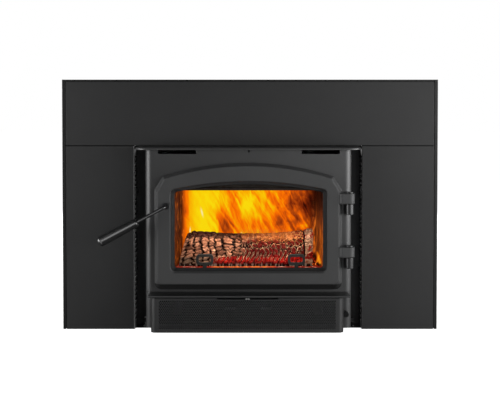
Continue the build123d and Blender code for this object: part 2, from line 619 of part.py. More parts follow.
cam = front(Pos(PIVOT_X, PIVOT_Z) * Circle(7.0), 68, 76)
tipf = Pos(PIVOT_X, PIVOT_Z) * (Rectangle(CAM_R - 1.5, 9.0, align=(Align.MAX, Align.CENTER)))
cam += front(tipf, 68, 76)
cam += front(Pos(PIVOT_X - CAM_R + 4.5, PIVOT_Z) * Circle(4.5), 68, 76)
cam -= cyl_y(PIVOT_X, PIVOT_Z, 60, 80, 4.0)
save("latch_cam", cam)
nut = hex_y(PIVOT_X, PIVOT_Z, 61.5, 68, 13.0) - cyl_y(PIVOT_X, PIVOT_Z, 60, 70, 4.0)
save("latch_nut", nut)

# ============================================================== BASE BOX
hb = rounded_u(BOX_L, BOX_R, BODY_D, BOX_D, BOX_Z0, BOX_Z1, BOX_CR)
hb -= rounded_u(BOX_L + BOX_T, BOX_R - BOX_T, BODY_D - 1, BOX_D - BOX_T, BOX_Z0 - 1, BOX_Z1 + 1, BOX_CR - BOX_T)
hb += blk(BOX_L + BOX_T, BOX_R - BOX_T, BODY_D, BOX_D - BOX_T - 8, BOX_Z0, BOX_Z0 + 2)
hb += blk(BOX_L + BOX_CR, BOX_R - BOX_CR, BODY_D, BOX_D - BOX_T, BOX_Z0, BOX_Z0 + 2)
hb += blk(BOX_L + BOX_T, BOX_R - BOX_T, BODY_D, BODY_D + 2, BOX_Z0, BODY_Z0 + 8)
for x0, x1, x2, x3 in ((BOX_L + BOX_T, BOX_L + BOX_CR, LEVER_X - NOTCH_HALF, LEVER_X - NOTCH_HALF),
                       (LEVER_X + NOTCH_HALF, LEVER_X + NOTCH_HALF, BOX_R - BOX_CR, BOX_R - BOX_T)):
    hb += blk(x0, x3, BODY_D, BOX_D - BOX_T - 8, BOX_Z1 - 2, BOX_Z1)
    hb += blk(x1, x2, BODY_D, BOX_D - BOX_T, BOX_Z1 - 2, BOX_Z1)
hb -= blk(MESH_L, MESH_R, BOX_D - 3, BOX_D + 1, MESH_Z0, MESH_Z1)
hb -= blk(LEVER_X - NOTCH_HALF, LEVER_X + NOTCH_HALF, BOX_D - 3, BOX_D + 1, NOTCH_Z, BOX_Z1 + 1)
save("blower_housing", hb)

# perforated screen, round holes on a staggered grid
rows = int((MESH_Z1 - MESH_Z0 - 2 * HOLE_R - 1.0) // HOLE_PZ) + 1
z_first = (MESH_Z0 + MESH_Z1) / 2 - (rows - 1) * HOLE_PZ / 2
wires = []
for j in range(rows):
    shift = HOLE_PX / 2 if j % 2 else 0.0
    n = int((MESH_R - MESH_L - 2 * HOLE_R - 1.0 - HOLE_PX / 2) // HOLE_PX) + 1
    x_first = (MESH_L + MESH_R) / 2 - (n - 1) * HOLE_PX / 2 - HOLE_PX / 4
    for i in range(n):
        c = Location((x_first + shift + i * HOLE_PX, z_first + j * HOLE_PZ))
        wires.append(Wire.make_circle(HOLE_R, Plane(origin=c.position)))
outer = Wire.make_polygon([(MESH_L, MESH_Z0), (MESH_R, MESH_Z0), (MESH_R, MESH_Z1), (MESH_L, MESH_Z1)])
screen = extrude(at_d(BOX_D - BOX_T) * Face(outer, wires), amount=BOX_T)
print("screen holes", len(wires))
save("blower_grille", screen)

# ================================================================ BLOWER
motor = cyl_x(-41, 29, FAN_D, FAN_Z, 33) + cyl_x(-47, 35, FAN_D, FAN_Z, 16)
motor += blk(-28, 16, FAN_D - 20, FAN_D + 20, BODY_Z0 + CASE_T, FAN_Z - 20)
motor -= cyl_x(-60, 50, FAN_D, FAN_Z, 4.0 + RUN)
save("blower_motor", motor)
save("blower_shaft", cyl_x(-212, 200, FAN_D, FAN_Z, 4.0))

wheels, scrolls = [], []
for x0 in (-205.0, 73.0):
    x1 = x0 + 120
    w = cyl_x(x0, x0 + 3, FAN_D, FAN_Z, 38) - cyl_x(x0 - 1, x0 + 4, FAN_D, FAN_Z, 31)
    w += cyl_x(x1 - 3, x1, FAN_D, FAN_Z, 38) - cyl_x(x1 - 4, x1 + 1, FAN_D, FAN_Z, 31)
    w += cyl_x(x0 + 58.5, x0 + 61.5, FAN_D, FAN_Z, 38)
    w += cyl_x(x0 + 50, x0 + 70, FAN_D, FAN_Z, 9)
    for i in range(22):
        t = Pos((x0 + x1) / 2, yd(FAN_D), FAN_Z) * Rot(i * 360 / 22, 0, 0) * Pos(0, 0, 34.3) * Rot(28, 0, 0)
        w += t * Box(120, 1.2, 6.6)
    w &= cyl_x(x0, x1, FAN_D, FAN_Z, 38)
    w -= cyl_x(x0 - 1, x1 + 1, FAN_D, FAN_Z, 4.0)
    wheels.append(w)
    a0, a1 = x0 - 7, x1 + 7
    s = cyl_x(a0, a1, FAN_D, FAN_Z, 43.5) + blk(a0, a1, FAN_D - 62, FAN_D, 28.5, 70)
    s -= cyl_x(a0 + 1.5, a1 - 1.5, FAN_D, FAN_Z, 42)
    s -= blk(a0 + 1.5, a1 - 1.5, FAN_D - 63, FAN_D, 30, 68.5)
    s -= cyl_x(a0 - 1, a1 + 1, FAN_D, FAN_Z, 26)
    s += blk(a0, a1, FAN_D - 30, FAN_D - 5, BODY_Z0 + CASE_T, 28.6)
    scrolls.append(s)
save("blower_wheels", *wheels)
save("blower_scrolls", *scrolls)

# ============================================================ FAN CONTROL
ctl = blk(280, 303, 46, 76, KNOB_Z - 13, KNOB_Z + 13) + cyl_y(KNOB_X, KNOB_Z, 76, 87, 4.5)
ctl -= cyl_y(KNOB_X, KNOB_Z, 50, 90, 3.0 + RUN)
save("fan_speed_control", ctl)
knob = cyl_y(KNOB_X, KNOB_Z, 88, 102, 9.6)
knob = fillet([e for e in knob.edges() if abs(e.center().Y - yd(102)) < 0.01], 1.6)
knob -= [cyl_y(KNOB_X + 10.6 * math.cos(t), KNOB_Z + 10.6 * math.sin(t), 90, 104, 1.6)
         for t in [math.radians(q) for q in range(0, 360, 30)]]
knob += blk(KNOB_X - 1.2, KNOB_X + 1.2, 100, 103.5, KNOB_Z - 8, KNOB_Z + 8)
knob += cyl_y(KNOB_X, KNOB_Z, 51, 90, 3.0)
save("fan_speed_knob", knob)

print("files", len(os.listdir("parts")))
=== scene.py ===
import bpy
import bmesh
import math
import numpy as np
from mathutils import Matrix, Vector


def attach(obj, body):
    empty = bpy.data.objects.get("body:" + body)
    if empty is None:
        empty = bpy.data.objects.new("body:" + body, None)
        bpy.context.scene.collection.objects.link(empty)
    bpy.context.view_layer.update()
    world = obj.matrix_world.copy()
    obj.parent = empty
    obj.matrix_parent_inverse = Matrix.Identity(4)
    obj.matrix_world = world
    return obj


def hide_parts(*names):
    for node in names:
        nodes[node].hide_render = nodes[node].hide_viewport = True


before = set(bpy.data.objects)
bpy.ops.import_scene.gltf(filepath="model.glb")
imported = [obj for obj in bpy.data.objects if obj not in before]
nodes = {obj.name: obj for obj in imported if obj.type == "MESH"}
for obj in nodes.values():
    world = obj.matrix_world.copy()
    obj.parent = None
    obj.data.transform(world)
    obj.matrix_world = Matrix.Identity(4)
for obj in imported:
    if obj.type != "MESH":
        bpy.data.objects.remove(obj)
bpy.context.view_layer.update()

FACE_Y = -0.133          # the surround's face
scene = bpy.context.scene

# ------------------------------------------------------------------ camera
cam_data = bpy.data.cameras.new("camera")
cam_data.sensor_width = 36.0
cam_data.lens = 60.17
cam_data.shift_y = -0.14
cam = bpy.data.objects.new("camera", cam_data)
cam.location = (0.0, -2.802, 0.674)
cam.rotation_euler = (math.radians(90.0 - 1.363), 0.0, 0.0)
scene.collection.objects.link(cam)
scene.camera = cam
scene.view_settings.view_transform = "Standard"
scene.view_settings.look = "None"


def at(px, py, d):
    """A point of the frame seen at pixel (px, py) of the 500 x 418 picture, d metres in front of the surround."""
    s = 0.0032 * (3.0 - d) / 3.0
    return ((px - 250.05) * s, FACE_Y - d, 0.7654 - (py - 90.0) * s)


# ------------------------------------------------------- node-tree helper
class Mat:
    """Builds one procedural material. Object coordinates are the frame's metres."""

    def __init__(self, name):
        self.m = bpy.data.materials.new(name)
        self.m.use_nodes = True
        self.t = self.m.node_tree
        self.t.nodes.clear()
        self.out = self.t.nodes.new("ShaderNodeOutputMaterial")
        self.obj = self.t.nodes.new("ShaderNodeTexCoord").outputs["Object"]

    def node(self, kind, **props):
        n = self.t.nodes.new(kind)
        for k, v in props.items():
            setattr(n, k, v)
        return n

    def put(self, socket, value):
        if isinstance(value, bpy.types.NodeSocket):
            self.t.links.new(value, socket)
        elif value is not None:
            socket.default_value = value

    def math(self, op, a, b=None, c=None, clamp=False):
        n = self.node("ShaderNodeMath", operation=op, use_clamp=clamp)
        for s, v in zip(n.inputs, (a, b, c)):
            self.put(s, v)
        return n.outputs[0]

    def vec(self, op, a, b=None):
        n = self.node("ShaderNodeVectorMath", operation=op)
        self.put(n.inputs[0], a)
        if op == "SCALE":
            self.put(n.inputs["Scale"], b)
        elif b is not None:
            self.put(n.inputs[1], b)
        return n.outputs[0]

    def mapping(self, loc=(0, 0, 0), rot=(0, 0, 0), scale=(1, 1, 1), vec=None, kind="POINT"):
        n = self.node("ShaderNodeMapping", vector_type=kind)
        self.put(n.inputs["Vector"], vec or self.obj)
        n.inputs["Location"].default_value = loc
        n.inputs["Rotation"].default_value = rot
        n.inputs["Scale"].default_value = scale
        return n.outputs[0]

    def noise(self, scale, detail=3.0, rough=0.5, dist=0.0, vec=None, color=False):
        n = self.node("ShaderNodeTexNoise")
        self.put(n.inputs["Vector"], vec or self.obj)
        n.inputs["Scale"].default_value = scale
        n.inputs["Detail"].default_value = detail
        n.inputs["Roughness"].default_value = rough
        n.inputs["Distortion"].default_value = dist
        return n.outputs["Color" if color else "Fac"]

    def voronoi(self, scale, vec=None, feature="F1", rand=1.0, out="Distance"):
        n = self.node("ShaderNodeTexVoronoi", feature=feature)
        self.put(n.inputs["Vector"], vec or self.obj)
        n.inputs["Scale"].default_value = scale
        n.inputs["Randomness"].default_value = rand
        return n.outputs[out]

    def ramp(self, fac, stops, interp="LINEAR"):
        n = self.node("ShaderNodeValToRGB")
        self.put(n.inputs["Fac"], fac)
        n.color_ramp.interpolation = interp
        el = n.color_ramp.elements
        while len(el) < len(stops):
            el.new(0.5)
        for e, (p, c) in zip(el, stops):
            e.position = p
            if isinstance(c, (int, float)):
                c = (c, c, c)
            e.color = (c[0], c[1], c[2], 1.0)
        return n.outputs["Color"]

    def smooth(self, fac, lo, hi, to_lo=0.0, to_hi=1.0):
        n = self.node("ShaderNodeMapRange", interpolation_type="SMOOTHSTEP")
        self.put(n.inputs["Value"], fac)
        n.inputs["From Min"].default_value = lo
        n.inputs["From Max"].default_value = hi
        n.inputs["To Min"].default_value = to_lo
        n.inputs["To Max"].default_value = to_hi
        return n.outputs["Result"]

    def mix(self, fac, a, b, blend="MIX"):
        n = self.node("ShaderNodeMix", data_type="RGBA", blend_type=blend)
        self.put(n.inputs[0], fac)
        for s, v in ((n.inputs[6], a), (n.inputs[7], b)):
            if isinstance(v, tuple) and len(v) == 3:
                v = (*v, 1.0)
            self.put(s, v)
        return n.outputs[2]

    def attr(self, name, out="Fac"):
        n = self.node("ShaderNodeAttribute", attribute_name=name)
        return n.outputs[out]

    def axis(self, k, vec=None):
        n = self.node("ShaderNodeSeparateXYZ")
        self.put(n.inputs[0], vec or self.obj)
        return n.outputs[k]

    def bump(self, height, distance, strength=1.0, normal=None):
        n = self.node("ShaderNodeBump")
        n.inputs["Strength"].default_value = strength
        n.inputs["Distance"].default_value = distance
        self.put(n.inputs["Height"], height)
        if normal is not None:
            self.put(n.inputs["Normal"], normal)
        return n.outputs[0]

    def round_edges(self, radius, samples=6):
        n = self.node("ShaderNodeBevel", samples=samples)
        n.inputs["Radius"].default_value = radius
        return n.outputs[0]

    def bsdf(self, **values):
        n = self.node("ShaderNodeBsdfPrincipled")
        for k, v in values.items():
            s = n.inputs[k.replace("_", " ")]
            if isinstance(v, tuple) and len(v) == 3 and s.type == "RGBA":
                v = (*v, 1.0)
            self.put(s, v)
        return n.outputs[0]

    def done(self, shader):
        self.t.links.new(shader, self.out.inputs["Surface"])
        return self.m


# --------------------------------------------------------------- materials
def paint(name, dark, light, rough=(0.45, 0.6), grain=0.00006, grain_scale=900.0, bevel=0.0015,
          spec=0.5, drift=3.0, orange=0.00003, wear=None, tint=None):
    """Sprayed coat on sheet or plate: fine grain, slow drift of tone, dust in the gloss."""
    k = Mat(name)
    big = k.noise(drift, 3.0, 0.55)
    mid = k.noise(38.0, 4.0, 0.6)
    fine = k.noise(grain_scale, 2.0, 0.5)
    tone = k.math("ADD", k.math("MULTIPLY", big, 0.55), k.math("MULTIPLY", mid, 0.25))
    tone = k.math("ADD", tone, k.math("MULTIPLY", fine, 0.2))
    base = k.ramp(tone, [(0.3, dark), (0.7, light)])
    if wear is not None:
        edge = k.round_edges(bevel * 1.6, 4)
        geo = k.node("ShaderNodeNewGeometry").outputs["Normal"]
        dot = k.node("ShaderNodeVectorMath", operation="DOT_PRODUCT")
        k.put(dot.inputs[0], edge)
        k.put(dot.inputs[1], geo)
        wear_and_highlight = k.math("MULTIPLY", k.smooth(dot.outputs["Value"], 0.99, 0.86),
                      k.smooth(k.noise(140.0, 3.0, 0.6), 0.42, 0.62), clamp=True)
        base = k.mix(wear_and_highlight, base, wear)
    if tint is not None:
        base = tint(k, base)
    r = k.math("ADD", k.math("MULTIPLY", k.noise(9.0, 4.0, 0.6), rough[1] - rough[0]), rough[0])
    r = k.math("ADD", r, k.math("MULTIPLY", k.math("SUBTRACT", fine, 0.5), 0.12))
    n = k.round_edges(bevel) if bevel else None
    n = k.bump(mid, orange * 6, 0.35, n)
    n = k.bump(fine, grain * 6, 0.5, n)
    return k.done(k.bsdf(Base_Color=base, Roughness=r, Normal=n, Specular_IOR_Level=spec))


def cast(name, dark, light, rough=(0.5, 0.66), bevel=0.002, spec=0.5, lump=0.0004, tint=None):
    """Painted casting: sandy skin, soft lumps and a few pits."""
    k = Mat(name)
    big = k.noise(6.0, 3.0, 0.55)
    sand = k.noise(520.0, 3.0, 0.65)
    lumps = k.noise(95.0, 3.0, 0.5)
    pits = k.smooth(k.voronoi(230.0), 0.10, 0.28)
    tone = k.math("ADD", k.math("MULTIPLY", big, 0.6), k.math("MULTIPLY", sand, 0.4))
    base = k.ramp(tone, [(0.3, dark), (0.72, light)])
    r = k.math("ADD", k.math("MULTIPLY", lumps, rough[1] - rough[0]), rough[0])
    if tint is not None:
        base, r = tint(k, base, r)
    n = k.round_edges(bevel)
    n = k.bump(lumps, lump, 0.35, n)
    n = k.bump(pits, 0.0004, 0.25, n)
    n = k.bump(sand, 0.0005, 0.4, n)
    return k.done(k.bsdf(Base_Color=base, Roughness=r, Normal=n, Specular_IOR_Level=spec))


def metal(name, dark, light, rough=(0.3, 0.5), metallic=1.0, brush=(1, 1, 1), scale=300.0, bevel=0.0008, stain=None,
          spec=0.5):
    k = Mat(name)
    v = k.mapping(scale=brush)
    fine = k.noise(scale, 4.0, 0.6, vec=v)
    big = k.noise(14.0, 4.0, 0.6)
    base = k.ramp(k.math("ADD", k.math("MULTIPLY", fine, 0.45), k.math("MULTIPLY", big, 0.55)),
                  [(0.32, dark), (0.68, light)])
    if stain is not None:
        base = k.mix(k.smooth(k.noise(22.0, 5.0, 0.65), 0.52, 0.7), base, stain)
    r = k.math("ADD", k.math("MULTIPLY", fine, rough[1] - rough[0]), rough[0])
    n = k.round_edges(bevel, 4) if bevel else None
    n = k.bump(fine, 0.0002, 0.3, n)
    return k.done(k.bsdf(Base_Color=base, Roughness=r, Normal=n, Metallic=metallic, Specular_IOR_Level=spec))


def galvanised(name):
    """Zinc-coated sheet: spangle, dull bloom and a few scuffs."""
    k = Mat(name)
    cell = k.voronoi(75.0, out="Color")
    cell2 = k.voronoi(170.0, out="Color")
    tone = k.math("ADD", k.math("MULTIPLY", k.axis(0, cell), 0.6), k.math("MULTIPLY", k.axis(1, cell2), 0.4))
    bloom = k.noise(7.0, 5.0, 0.65)
    base = k.ramp(tone, [(0.1, (0.30, 0.32, 0.34)), (0.9, (0.47, 0.49, 0.51))])
    base = k.mix(k.smooth(bloom, 0.5, 0.72), base, (0.36, 0.36, 0.35))
    scratch = k.noise(60.0, 6.0, 0.7, vec=k.mapping(rot=(0.3, 0.5, 0.2), scale=(1, 1, 14)))
    r = k.math("ADD", k.math("MULTIPLY", tone, 0.16), 0.36)
    r = k.math("ADD", r, k.math("MULTIPLY", k.smooth(bloom, 0.45, 0.75), 0.18))
    n = k.round_edges(0.0008, 4)
    n = k.bump(scratch, 0.0002, 0.2, n)
    return k.done(k.bsdf(Base_Color=base, Roughness=r, Normal=n, Metallic=0.85))


def firebrick(name):
    """Buff refractory brick, sooted and burnt red-brown by the fire, with soot drawn upwards."""
    k = Mat(name)
    grit = k.noise(260.0, 5.0, 0.7)
    body = k.noise(24.0, 4.0, 0.6)
    soot_and_shade = k.noise(26.0, 5.0, 0.62, dist=0.9, vec=k.mapping(scale=(1, 1, 0.16)))
    curl = k.noise(34.0, 4.0, 0.6, dist=1.6, vec=k.mapping(scale=(1, 1, 0.45)))
    base = k.ramp(k.math("ADD", k.math("MULTIPLY", grit, 0.4), k.math("MULTIPLY", body, 0.6)),
                  [(0.3, (0.115, 0.034, 0.018)), (0.55, (0.19, 0.062, 0.034)), (0.75, (0.27, 0.115, 0.066))])
    base = k.mix(k.smooth(soot_and_shade, 0.42, 0.60), base, (0.016, 0.006, 0.004))
    base = k.mix(k.smooth(curl, 0.56, 0.66, 0.0, 0.8), base, (0.010, 0.004, 0.003))
    pits = k.smooth(k.voronoi(190.0), 0.12, 0.34)
    n = k.round_edges(0.0012, 4)
    n = k.bump(pits, 0.0012, 0.5, n)
    n = k.bump(grit, 0.0010, 0.6, n)
    # painted fire light, as emission on the side walls: flecks on the left, a brown-orange veil low on the right
    x, z = k.axis(0), k.axis(2)
    wisp = k.noise(30.0, 5.0, 0.62, dist=1.2, vec=k.mapping(scale=(1, 1, 0.42)))
    fleck = k.noise(95.0, 4.0, 0.62, dist=0.8, vec=k.mapping(scale=(1, 1, 0.35)))
    left = k.math("MULTIPLY", k.smooth(x, -0.225, -0.238), k.smooth(fleck, 0.50, 0.68))
    left = k.math("ADD", k.math("MULTIPLY", left, 0.75), k.math("MULTIPLY", k.smooth(x, -0.225, -0.238), 0.16))
    right = k.math("MULTIPLY", k.smooth(x, 0.215, 0.228), k.smooth(z, 0.42, 0.30, 0.12, 1.0))
    right = k.math("MULTIPLY", right, k.smooth(wisp, 0.38, 0.66, 0.25, 1.0))
    fire_glow = k.math("ADD", left, k.math("MULTIPLY", right, 0.85))
    fire_glow = k.math("MULTIPLY", fire_glow, k.math("MULTIPLY", k.smooth(z, 0.186, 0.200), k.smooth(z, 0.50, 0.47)))
    glow = k.ramp(fire_glow, [(0.0, (0.0, 0.0, 0.0)), (0.15, (0.030, 0.006, 0.002)), (0.40, (0.12, 0.022, 0.004)),
                         (0.70, (0.42, 0.085, 0.008)), (1.0, (0.80, 0.20, 0.012))])
    return k.done(k.bsdf(Base_Color=base, Roughness=0.9, Normal=n, Specular_IOR_Level=0.25, Emission_Color=glow,
                         Emission_Strength=1.0))


def plastic(name, dark, light, rough, coat=0.0, grain=500.0, spec=0.5, coat_rough=0.14):
    k = Mat(name)
    fine = k.noise(grain, 3.0, 0.6)
    big = k.noise(20.0, 3.0, 0.5)
    base = k.ramp(big, [(0.3, dark), (0.7, light)])
    r = k.math("ADD", k.math("MULTIPLY", fine, 0.10), rough)
    n = k.bump(fine, 0.00012, 0.25, k.round_edges(0.0008, 4))
    return k.done(k.bsdf(Base_Color=base, Roughness=r, Normal=n, Specular_IOR_Level=spec, Coat_Weight=coat,
                         Coat_Roughness=coat_rough))


def depth(k):
    """Millimetres in front of the surround's face."""
    return k.math("MULTIPLY", k.math("ADD", k.axis(1), -FACE_Y), -1000.0)


def panel_tint(k, base):
    """Painted highlight along the inner bends, stronger on the left; painted light on the bridges between the ladder
    slots; painted shade along the seam between the top and side panels.
    """
    d = depth(k)
    side = k.math("ABSOLUTE", k.math("ADD", k.axis(0), 0.0056))
    # painted light on the bridges between the slots of the inner flanges
    bridge_light = k.math("MULTIPLY", k.smooth(side, 0.3655, 0.3645), k.math("MULTIPLY", k.smooth(d, -3.0, -7.0), k.smooth(d, -31.0, -27.0)))
    below = k.smooth(k.axis(2), 0.5860, 0.5850)
    # painted highlight on the inner bend of each side panel
    bend_highlight = k.math("MULTIPLY", k.math("MULTIPLY", k.smooth(side, 0.3672, 0.3662), k.smooth(d, -6.0, -3.0)), below)
    bridge_light = k.math("MULTIPLY", bridge_light, below)
    base = k.mix(bridge_light, base, (0.36, 0.36, 0.36))
    # the painted highlight is paler on the left panel than on the right
    wear_and_highlight = k.mix(k.smooth(k.axis(0), -0.01, 0.01), (0.36, 0.36, 0.36), (0.10, 0.10, 0.10))
    base = k.mix(bend_highlight, base, wear_and_highlight)
    # painted shade of the gap along the seam
    seam_shade = k.smooth(k.math("ABSOLUTE", k.math("SUBTRACT", k.axis(2), 0.5890)), 0.0028, 0.0020)
    return k.mix(seam_shade, base, (0.0012, 0.0012, 0.0012))


def stove_tint(k, base):
    """Painted shade where the base box hides the sheet, in the strip above the ash lip and on the lip's top; a painted
    highlight along the lip's front edge.
    """
    x, z, d = k.axis(0), k.axis(2), depth(k)
    # painted shade on the sheet behind the base box
    box_interior_shade = k.math("MULTIPLY", k.smooth(x, -0.3022, -0.3014), k.smooth(x, 0.2848, 0.2840))
    box_interior_shade = k.math("MULTIPLY", box_interior_shade, k.smooth(z, 0.1310, 0.1300))
    box_interior_shade = k.math("MULTIPLY", box_interior_shade, k.smooth(d, 133.8, 133.4))
    # painted shade on the strip above the ash lip
    low = k.math("MULTIPLY", k.smooth(z, 0.1420, 0.1400), k.smooth(z, 0.1372, 0.1364))
    base = k.mix(low, base, (0.023, 0.0232, 0.0236))
    # painted shade on the lip's top
    lip_top_shade = k.math("MULTIPLY", k.math("MULTIPLY", k.smooth(z, 0.1350, 0.1356), k.smooth(z, 0.1400, 0.1385)), k.smooth(d, 149.0, 147.0))
    base = k.mix(lip_top_shade, base, (0.0030, 0.0030, 0.0031))
    # painted highlight along the lip's front edge
    edge = k.math("MULTIPLY", k.math("MULTIPLY", k.smooth(z, 0.1333, 0.1338), k.smooth(z, 0.1372, 0.1368)), k.smooth(d, 141.8, 142.6))
    base = k.mix(edge, base, (0.050, 0.0505, 0.0510))
    return k.mix(box_interior_shade, base, (0.0020, 0.0020, 0.0020))


def rebate_tint(k, base, r):
    """Painted shade, with a rougher finish, in the sloping rebate round the glass (least on the arch), in a dark line
    along the bottom edge of the window, and on the door's lowest part.
    """
    x, z, d = k.math("ABSOLUTE", k.math("ADD", k.axis(0), 0.0038)), k.axis(2), depth(k)
    # painted shade in the sloping rebate, least on the arch
    rebate = k.math("MULTIPLY", k.smooth(x, 0.2420, 0.2412), k.math("MULTIPLY", k.smooth(z, 0.2050, 0.2060), k.smooth(z, 0.4860, 0.4850)))
    rebate = k.math("MULTIPLY", rebate, k.smooth(d, 114.6, 113.6))
    rebate = k.math("MULTIPLY", rebate, k.smooth(z, 0.4590, 0.4530, 0.15, 1.0))
    # painted shade on the door's underside
    under = k.smooth(z, 0.1672, 0.1656)
    # painted shade as a dark line along the bottom edge of the window
    sill = k.math("MULTIPLY", k.math("MULTIPLY", k.smooth(z, 0.2000, 0.2012), k.smooth(z, 0.2070, 0.2060)), k.smooth(x, 0.2360, 0.2250))
    # painted shade from the three masks, also made rougher
    dull = k.math("MAXIMUM", k.math("MAXIMUM", k.math("MULTIPLY", rebate, 0.86), k.math("MULTIPLY", sill, 0.8)), under)
    return k.mix(dull, base, (0.0022, 0.0022, 0.0023)), k.math("ADD", r, k.math("MULTIPLY", dull, 0.30))


M = {}
# painted shade: the joining plates behind the seam are near-black, so the gap between the panels reads as shade
M["seam"] = paint("seam_black", (0.0015, 0.0015, 0.0015), (0.0030, 0.0030, 0.0030), (0.8, 0.9), spec=0.1)
M["panel"] = paint("surround_black", (0.0165, 0.0166, 0.0169), (0.0225, 0.0226, 0.0229), (0.50, 0.60), tint=panel_tint)
M["trim"] = paint("trim_black", (0.0055, 0.0055, 0.0057), (0.0085, 0.0085, 0.0087), (0.40, 0.50), spec=0.4)
# painted light: the parts deep in the recess get the black paint several times paler than the surround's
M["recess"] = paint("recess_black", (0.048, 0.048, 0.048), (0.074, 0.074, 0.074), (0.7, 0.85), spec=0.3)
M["stove"] = paint("stove_black", (0.0300, 0.0302, 0.0307), (0.0410, 0.0413, 0.0418), (0.37, 0.47), grain_scale=700.0, spec=0.8,
                   tint=stove_tint)
M["door"] = cast("door_cast", (0.038, 0.0383, 0.0388), (0.057, 0.0574, 0.0580), (0.46, 0.58), bevel=0.0060, spec=0.6, tint=rebate_tint)
M["hinge"] = paint("hinge_black", (0.014, 0.014, 0.0145), (0.024, 0.024, 0.0245), (0.28, 0.38), spec=0.75, bevel=0.0012)
M["andiron"] = cast("andiron_iron", (0.020, 0.028, 0.031), (0.034, 0.045, 0.050), (0.55, 0.75))
M["grille"] = paint("grille_black", (0.034, 0.034, 0.0345), (0.044, 0.044, 0.0445), (0.42, 0.52), bevel=0.0004)
M["galv"] = galvanised("galvanised")
M["steel"] = metal("firebox_steel", (0.030, 0.026, 0.024), (0.085, 0.072, 0.064), (0.45, 0.7), 0.6,
                   stain=(0.05, 0.024, 0.014))
M["stainless"] = metal("stainless", (0.28, 0.24, 0.20), (0.52, 0.47, 0.42), (0.25, 0.42), brush=(1, 1, 1),
                       stain=(0.20, 0.10, 0.05))
M["brick"] = firebrick("firebrick")
M["gasket_rod"] = metal("hinge_steel", (0.40, 0.40, 0.41), (0.62, 0.62, 0.63), (0.25, 0.4))
M["zinc"] = metal("zinc_plate", (0.58, 0.58, 0.56), (0.80, 0.80, 0.78), (0.30, 0.46))
# painted shade: the blower, the air inlet box and the casing base, seen through the grille and the lever notch, are
# near-black
M["blower"] = metal("blower_shade_black", (0.0030, 0.0030, 0.0030), (0.0080, 0.0080, 0.0080), (0.7, 0.9), 0.0,
                     stain=(0.010, 0.009, 0.008), spec=0.15)
M["oxide"] = metal("black_oxide", (0.02, 0.02, 0.022), (0.05, 0.05, 0.052), (0.32, 0.5), 0.7)
M["bronze"] = metal("bronze_sooty", (0.020, 0.016, 0.012), (0.045, 0.036, 0.026), (0.45, 0.6))
M["rod"] = metal("rod_steel", (0.006, 0.006, 0.0065), (0.014, 0.014, 0.0145), (0.16, 0.26), 0.0, scale=500.0, spec=1.0)
M["grip"] = plastic("grip_gloss", (0.0025, 0.0025, 0.0026), (0.0045, 0.0045, 0.0046), 0.26, coat=1.0, spec=0.9, coat_rough=0.14)
M["knob"] = plastic("knob_plastic", (0.003, 0.003, 0.003), (0.006, 0.006, 0.006), 0.24)
M["control"] = plastic("control_plastic", (0.02, 0.02, 0.021), (0.035, 0.035, 0.036), 0.45)
M["rubber"] = plastic("grommet_rubber", (0.012, 0.012, 0.012), (0.022, 0.022, 0.022), 0.7)
M["motor"] = paint("motor_paint", (0.004, 0.0044, 0.005), (0.008, 0.0086, 0.0095), (0.6, 0.7), spec=0.2)


def lever_finish():
    """Plated lever, dipped black in front, with the two button heads left bright."""
    k = Mat("lever_plate")
    d = k.math("MULTIPLY", k.math("ADD", k.axis(1), -FACE_Y), -1.0)
    fine = k.noise(300.0, 4.0, 0.6)
    zinc = k.ramp(fine, [(0.3, (0.30, 0.30, 0.29)), (0.7, (0.52, 0.52, 0.50))])
    black = k.ramp(fine, [(0.3, (0.004, 0.004, 0.004)), (0.7, (0.009, 0.009, 0.009))])
    dip = k.math("MULTIPLY", k.smooth(d, 0.095, 0.097), k.smooth(d, 0.1414, 0.1412))
    base = k.mix(dip, zinc, black)
    met = k.math("SUBTRACT", 1.0, dip)
    r = k.math("ADD", k.math("MULTIPLY", fine, 0.15), 0.34)
    n = k.bump(fine, 0.0002, 0.3, k.round_edges(0.0006, 4))
    return k.done(k.bsdf(Base_Color=base, Roughness=r, Normal=n, Metallic=met))


M["lever"] = lever_finish()


def bolt_finish():
    """Zinc-plated bolts; those on the right are much darker."""
    k = Mat("zinc_plate_bolts")
    fine = k.noise(300.0, 4.0, 0.6)
    big = k.noise(14.0, 4.0, 0.6)
    base = k.ramp(k.math("ADD", k.math("MULTIPLY", fine, 0.45), k.math("MULTIPLY", big, 0.55)),
                  [(0.32, (0.58, 0.58, 0.56)), (0.68, (0.80, 0.80, 0.78))])
    base = k.mix(k.smooth(k.axis(0), -0.02, 0.02), base, k.ramp(fine, [(0.3, (0.010, 0.010, 0.010)), (0.7, (0.026, 0.026, 0.025))]))
    r = k.math("ADD", k.math("MULTIPLY", fine, 0.16), 0.30)
    n = k.bump(fine, 0.0002, 0.3, k.round_edges(0.0008, 4))
    return k.done(k.bsdf(Base_Color=base, Roughness=r, Normal=n, Metallic=0.9))


M["bolt"] = bolt_finish()


def vermiculite():
    k = Mat("vermiculite")
    flake = k.voronoi(420.0, out="Color")
    tone = k.axis(0, flake)
    base = k.ramp(tone, [(0.1, (0.28, 0.20, 0.10)), (0.55, (0.46, 0.36, 0.20)), (0.95, (0.62, 0.52, 0.33))])
    base = k.mix(k.smooth(k.noise(8.0, 4.0, 0.6), 0.4, 0.62), base, (0.05, 0.04, 0.035))
    n = k.bump(k.voronoi(420.0), 0.0012, 0.6)
    r = k.math("ADD", k.math("MULTIPLY", tone, 0.15), 0.75)
    return k.done(k.bsdf(Base_Color=base, Roughness=r, Normal=n))


